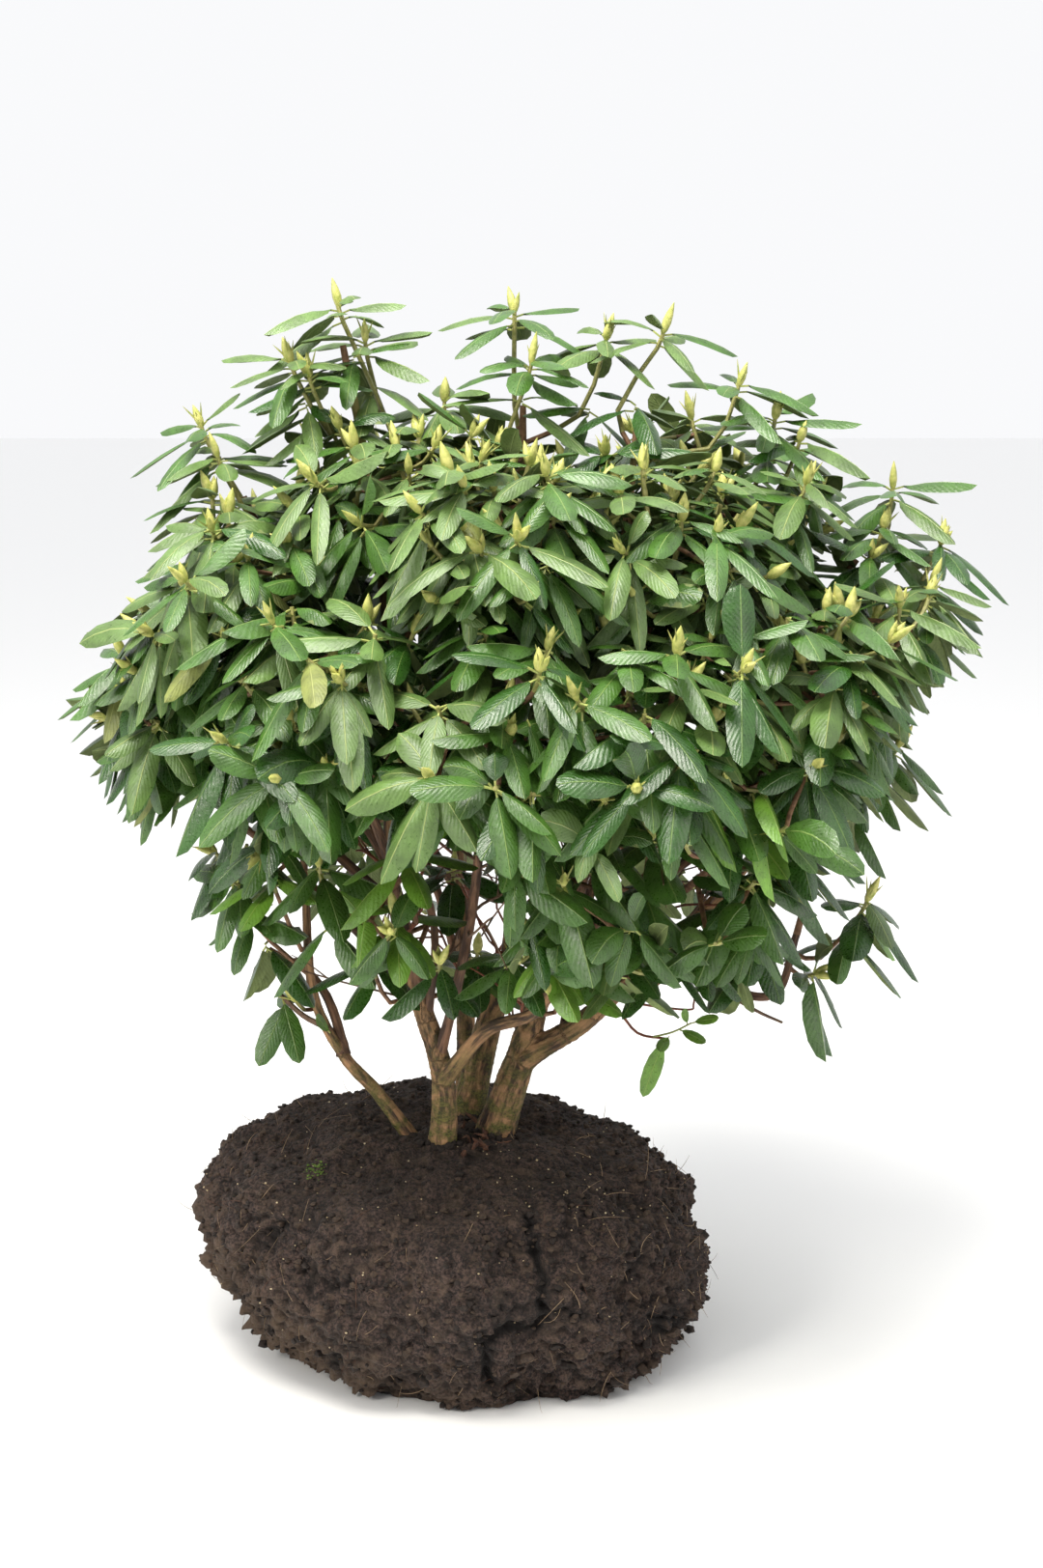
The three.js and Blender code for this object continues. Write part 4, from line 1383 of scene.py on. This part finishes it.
# ---- root ball ----
ball = {
    "underside": 0.32,
    "height": 0.364,
    "side": [
        (0.32, 0), (0.366, 0.055), (0.408, 0.15), (0.388, 0.24),
        (0.35, 0.297), (0.262, 0.33), (0.13, 0.356), (0, 0.364),
    ],
    "roundness": 0.965,
    "widening": 0.04,
    "tilt": 0.06,
    "footShift": 0.05,
    "footFade": 0.2,
    "lumpDepth": 0.017,
    "lumpRise": 0.6,
    "lumpLengths": (0.11, 0.24),
    "lumpWaves": 9,
    "lumpShift": 1.7,
    "segments": 500,
    "rings": 195,
    "floorPart": 0.07,  # of the rings lie on the underside
    # wavelength and depth of the swells, crumbs and grit, and of the clods between them
    "relief": [(0.07, 0.011), (0.024, 0.01), (0.012, 0.008), (0.006, 0.004)],
    "clods": [(0.046, 0.016), (0.017, 0.009)],
    # the crack down the front, as x and z
    "crack": [
        (0.134, 0.309), (0.136, 0.27), (0.15, 0.235), (0.149, 0.2), (0.157, 0.162), (0.133, 0.151),
        (0.1, 0.16), (0.068, 0.15), (0.064, 0.12), (0.071, 0.05),
    ],
    "crackWidth": 0.0075,
    "crackDepth": 0.02,
}


# soft lumps from a few crossing waves, as in the solid, on rows of points
def lump(places):
    total = 0
    for i in range(ball["lumpWaves"]):
        turn = i * goldenAngle
        rise = 1 - 2 * (i + 0.5) / ball["lumpWaves"]
        level = math.sqrt(1 - rise * rise)
        along = places @ np.array((math.cos(turn) * level, math.sin(turn) * level, rise))
        wave = mix(ball["lumpLengths"], i / ball["lumpWaves"])
        total = total + np.sin(2 * np.pi * along / wave + ball["lumpShift"] * i)
    return total / math.sqrt(2 * ball["lumpWaves"])


def lumpy(places):
    x, y, z = places.T
    out = np.hypot(x, y)
    plan = ball["roundness"] + ball["widening"] * np.cos(2 * np.arctan2(y, x))
    push = ball["lumpDepth"] * lump(places)
    scale = plan + push / ball["underside"] * np.minimum(1, out / ball["underside"])
    lean = 1 - ball["tilt"] * x / ball["underside"]
    rise = ball["lumpRise"] * push * z / ball["height"]
    shift = ball["footShift"] * np.maximum(0, 1 - z / ball["footFade"])
    return np.stack([x * scale + shift, y * scale, z * lean + rise], 1)


def ballSkin():
    bpy.ops.object.select_all(action="DESELECT")
    bpy.ops.mesh.primitive_uv_sphere_add(segments=ball["segments"], ring_count=ball["rings"])
    skin = bpy.context.object
    skin.name = "root_ball_peat"
    unit = readPoints(skin.data, "co")
    share = np.arccos(np.clip(-unit[:, 2], -1, 1)) / np.pi
    turn = np.arctan2(unit[:, 1], unit[:, 0])
    profile = [Vector((radius, 0, height)) for radius, height in ball["side"]]
    fine = np.array([smoothPoint(profile, i / 400) for i in range(401)])
    floorPart = ball["floorPart"]
    at = np.clip((share - floorPart) / (1 - floorPart), 0, 1) * 400
    radius = np.interp(at, np.arange(401), fine[:, 0])
    height = np.interp(at, np.arange(401), fine[:, 2])
    radius = np.where(share < floorPart, ball["underside"] * share / floorPart, np.abs(radius))
    height = np.where(share < floorPart, 0, height)
    places = lumpy(np.stack([radius * np.cos(turn), radius * np.sin(turn), height], 1))
    writePlaces(skin.data, places)
    return skin, places, readPoints(skin.data, "normal")


# how near a place on the front is to the crack, from 0 to 1
def crackAt(place):
    if place.y > -0.12:
        return 0
    nearest = 1
    for (ax, az), (bx, bz) in zip(ball["crack"], ball["crack"][1:]):
        along = (place.x - ax) * (bx - ax) + (place.z - az) * (bz - az)
        share = min(1, max(0, along / ((bx - ax) ** 2 + (bz - az) ** 2)))
        away = math.hypot(place.x - mix((ax, bx), share), place.z - mix((az, bz), share))
        nearest = min(nearest, away + 0.007 * noise.noise(place * 70))
    return math.exp(-((nearest / ball["crackWidth"]) ** 2))


def makeBall():
    skin, places, normals = ballSkin()
    moved = np.empty_like(places)
    hollow = np.zeros(len(places))
    for i, (place, normal) in enumerate(zip(places, normals)):
        spot = Vector(place)
        level = min(1, 0.15 + place[2] / 0.012) if place[2] > 0 else 0
        rough = 0.4 + 0.6 * min(1, max(0, 1.3 - normal[2] * 1.3)) + 2.5 * max(0, 0.14 - place[2])
        # pressed smoother on the middle of the front
        rough *= 1.15 - 0.5 * max(0, -normal[1]) * math.exp(-((place[0] + 0.03) / 0.17) ** 2)
        push = 0
        for k, (wave, depth) in enumerate(ball["relief"]):
            value = noise.noise(spot / wave + Vector((k * 3.7, 0, 0)))
            if k == 1:
                value = 1.7 * abs(value) - 0.35
            push += depth * value
        bent = spot + noise.noise_vector(spot / 0.03) * 0.008
        for wave, depth in ball["clods"]:
            near, next_ = noise.voronoi(bent / wave)[0][:2]
            push += depth * (min(0.35, next_ - near) - 0.2)
        # the crack opens towards the floor
        push = push * rough - 0.001 - ball["crackDepth"] * crackAt(spot) * (1.3 - 2.1 * place[2])
        hollow[i] = push
        moved[i] = place + normal * (push * level)
    moved[:, 2] = np.maximum(moved[:, 2], 0)
    writePlaces(skin.data, moved)
    layer = skin.data.attributes.new("hollow", "FLOAT", "POINT")
    layer.data.foreach_set("value", hollow.astype(np.float32))
    skin.data.materials.append(peatMaterial())
    smoothShade(skin, 75)
    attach(skin, "root")
    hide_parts("root_ball")
    print("ball:", len(skin.data.polygons), "faces")
    return moved, readPoints(skin.data, "normal")


def peatMaterial():
    material, tree, shader = newMaterial("peat")
    place = addNode(tree, "TexCoord").outputs["Object"]
    crumbs = mottled(tree, place, 210, 0.4, 0.62, (0.0075, 0.0048, 0.0041), (0.076, 0.046, 0.0365))
    # dusty in patches and towards the floor, reaching higher up on the left
    parts = addNode(tree, "SeparateXYZ", {0: place}).outputs
    leaning = maths(tree, "MULTIPLY_ADD", parts["X"], 0.5, parts["Z"])
    edge = ramp(tree, leaning, 0.1, -0.06, 0, 0.6)
    patches = mottled(tree, place, 34, 0.47, 0.68)
    dry = maths(tree, "MULTIPLY_ADD", patches["Mask"], 0.5, edge)
    dusty = blend(tree, dry, crumbs["Colour"], (0.1, 0.066, 0.042))
    # painted shade: darker in the hollows between the clods, where shade falls
    depth = addNode(tree, "Attribute", attribute_name="hollow").outputs["Fac"]
    shaded = blend(tree, ramp(tree, depth, 0.003, -0.011), dusty, (0.007, 0.0045, 0.0035))
    setInputs(shader, {"Base Color": shaded, "Roughness": 0.93})
    rough = placeGroup(tree, grain, place, Swell=260, Grain=900)
    pebbles = addNode(tree, "TexVoronoi", {"Vector": place, "Scale": 150}).outputs["Distance"]
    crumbly = maths(tree, "MULTIPLY_ADD", pebbles, -0.9, rough["Height"])
    addBump(tree, shader, crumbly, 0.9, 0.003)
    return material


ballPlaces, ballNormals = makeBall()


# crumbs of peat, roots and bits of leaf mould that lie on the ball
litter = {
    "crumbs": 3000,
    "crumbSize": (0.0018, 0.0068),
    "clumps": 620,  # bigger ones round the lower edge
    "clumpSize": (0.005, 0.0125),
    "collar": 75,  # crumbs heaped round the foot of each stem
    "collarSize": (0.003, 0.0085),
    "moss": 70,
    "mossSize": (0.0012, 0.003),
    "mossPlace": (-0.21, -0.17),
    "scraps": 16,  # dead bits among the stems
    "scrapPlace": (0.022, -0.075, 0.355),
    "fibres": 620,
    "fibreLength": (0.014, 0.05),
    "fibreRadius": 0.00042,
    "specks": 280,
    "speckPlace": (0.17, -0.15),  # one in six lies round here
    "speckSize": (0.0008, 0.0019),
}


# a spot on the ball's skin that is above the floor, with the way out of it
def spotOnBall(random, lowest, sidesOnly=False):
    while True:
        i = int(random() * len(ballPlaces))
        if ballPlaces[i][2] < lowest or ballNormals[i][2] < -0.4:
            continue
        steep = 1 - abs(ballNormals[i][2])
        # rows of corners lie closer together towards the top
        crowd = math.hypot(*ballPlaces[i][:2]) / 0.4
        if random() > crowd or (sidesOnly and random() > steep + 0.12):
            continue
        return Vector(ballPlaces[i]), Vector(ballNormals[i])


# an uneven lump of twelve corners
def pourCrumb(heap, random, middle, size, flat, slot):
    golden = (1 + math.sqrt(5)) / 2
    base = [(-1, golden, 0), (1, golden, 0), (-1, -golden, 0), (1, -golden, 0)]
    base += [(0, -1, golden), (0, 1, golden), (0, -1, -golden), (0, 1, -golden)]
    base += [(golden, 0, -1), (golden, 0, 1), (-golden, 0, -1), (-golden, 0, 1)]
    faces = [(0, 11, 5), (0, 5, 1), (0, 1, 7), (0, 7, 10), (0, 10, 11), (1, 5, 9), (5, 11, 4)]
    faces += [(11, 10, 2), (10, 7, 6), (7, 1, 8), (3, 9, 4), (3, 4, 2), (3, 2, 6), (3, 6, 8)]
    faces += [(3, 8, 9), (4, 9, 5), (2, 4, 11), (6, 2, 10), (8, 6, 7), (9, 8, 1)]
    turn = random() * 2 * math.pi
    corners = []
    for x, y, z in base:
        grow = size * (0.36 + 0.34 * random())
        across = x * math.cos(turn) - y * math.sin(turn)
        other = x * math.sin(turn) + y * math.cos(turn)
        corners.append((middle.x + across * grow, middle.y + other * grow, middle.z + z * grow * flat))
    pour(heap, corners, [(faces, slot)])


def makeCrumbs():
    heap = newHeap()
    random = seededRandom(4241)
    for _ in range(litter["crumbs"]):
        spot, out = spotOnBall(random, 0.012)
        size = mix(litter["crumbSize"], random() ** 2.2)
        pourCrumb(heap, random, spot + out * (size * 0.25), size, 0.75, 0 if random() < 0.6 else 1)
    for _ in range(litter["clumps"]):
        spot, out = spotOnBall(random, 0.004, sidesOnly=True)
        size = mix(litter["clumpSize"], random() ** 2) * (1 if spot.z < 0.12 else 0.55)
        place = spot + out * (size * 0.3)
        place.z = max(place.z, size)
        pourCrumb(heap, random, place, size, 0.8, 0 if random() < 0.7 else 1)
    ground = ballPlaces[ballPlaces[:, 2] > 0.25]

    def dropCrumb(x, y, size, lift, flat, slot):
        z = float(ground[np.argmin(np.hypot(ground[:, 0] - x, ground[:, 1] - y)), 2])
        pourCrumb(heap, random, Vector((x, y, z + lift * size)), size, flat, slot)

    for limb in limbs.values():
        if limb["rooted"]:
            for i in range(litter["collar"]):
                away = limb["thick"] * (0.5 + 0.5 * random() * random())
                x = limb["from"][0] + away * math.cos(i * goldenAngle)
                y = limb["from"][1] + away * math.sin(i * goldenAngle)
                dropCrumb(x, y, mix(litter["collarSize"], random() ** 1.5), 0.2, 0.8, 0)
    for i in range(litter["moss"]):
        out = math.sqrt(i / litter["moss"])
        x = litter["mossPlace"][0] + 0.02 * out * math.cos(i * goldenAngle)
        y = litter["mossPlace"][1] + 0.03 * out * math.sin(i * goldenAngle)
        if random() < 0.6:
            dropCrumb(x, y, mix(litter["mossSize"], random()), 0.3, 0.7, 3)
    for i in range(litter["specks"]):
        spot, out = spotOnBall(random, 0.012)
        while i % 6 == 0 and math.dist(spot[:2], litter["speckPlace"]) > 0.12:
            spot, out = spotOnBall(random, 0.2)
        size = mix(litter["speckSize"], random())
        pourCrumb(heap, random, spot + out * size * 0.5, size, 0.8, 2)
    dark = softMaterial("crumbDark", (0.01, 0.007, 0.006), (0.03, 0.02, 0.015), 0.95, 200)
    brown = softMaterial("crumbBrown", (0.03, 0.02, 0.014), (0.07, 0.045, 0.03), 0.95, 200)
    cream = softMaterial("speckCream", (0.36, 0.26, 0.13), (0.6, 0.5, 0.33), 0.9, 200)
    moss = softMaterial("mossGreen", (0.04, 0.075, 0.012), (0.13, 0.2, 0.03), 0.9, 200)
    crumbs = pieceFrom(heap, "peat_crumbs", [dark, brown, cream, moss], 30)
    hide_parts("root_ball")


def makeFibres():
    heap = newHeap()
    random = seededRandom(5683)
    for _ in range(litter["fibres"]):
        spot, out = spotOnBall(random, 0.015, sidesOnly=True)
        if -0.22 < spot.x < 0.14 and spot.y < -0.1 and spot.z > 0.1 and random() < 0.75:
            continue
        length = mix(litter["fibreLength"], random())
        lift = 0.25 if random() < 0.7 else 1.1
        way = directionFrom(out, math.pi / 2 - lift * random(), random() * 2 * math.pi)
        curl = directionFrom(out, math.pi / 2, random() * 2 * math.pi) * (0.7 * length * random())
        points = []
        for i in range(5):
            share = i / 4
            lift = 0.0012 * math.sin(share * math.pi) + 0.0004
            place = spot + way * (length * share) + curl * (share * share) + out * lift
            place.z = max(place.z, 0.001)
            points.append(place)
        radius = litter["fibreRadius"] * (0.6 + 0.9 * random())
        tone = 0 if random() < 0.7 else 1
        pourTube(heap, points, [radius * wide for wide in (1, 1, 0.9, 0.7, 0.4)], 3, [tone] * 4)
    for i in range(litter["scraps"]):
        spot = Vector(litter["scrapPlace"]) + Vector((random() - 0.5, random() - 0.5, 0)) * 0.13
        way = directionFrom(up, 0.8 + 0.8 * random(), i * goldenAngle)
        curl = directionFrom(way, math.pi / 2, random() * 2 * math.pi)
        length = 0.014 + 0.04 * random()
        line = [spot, spot + way * (0.5 * length) + curl * 0.006, spot + way * length - curl * 0.004]
        wide = 0.8 + 0.9 * random()
        radii = [wide * value for value in (0.001, 0.0024, 0.003, 0.0026, 0.0018, 0.0005)]
        pourTwig(heap, line, radii, 4, 1)
    tan = softMaterial("rootTan", (0.2, 0.13, 0.075), (0.34, 0.235, 0.14), 0.85, 150)
    brown = softMaterial("rootBrown", (0.045, 0.02, 0.012), (0.13, 0.055, 0.03), 0.85, 150)
    fibres = pieceFrom(heap, "root_fibres", [tan, brown], 60)
    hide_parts("root_ball")


makeCrumbs()
makeFibres()
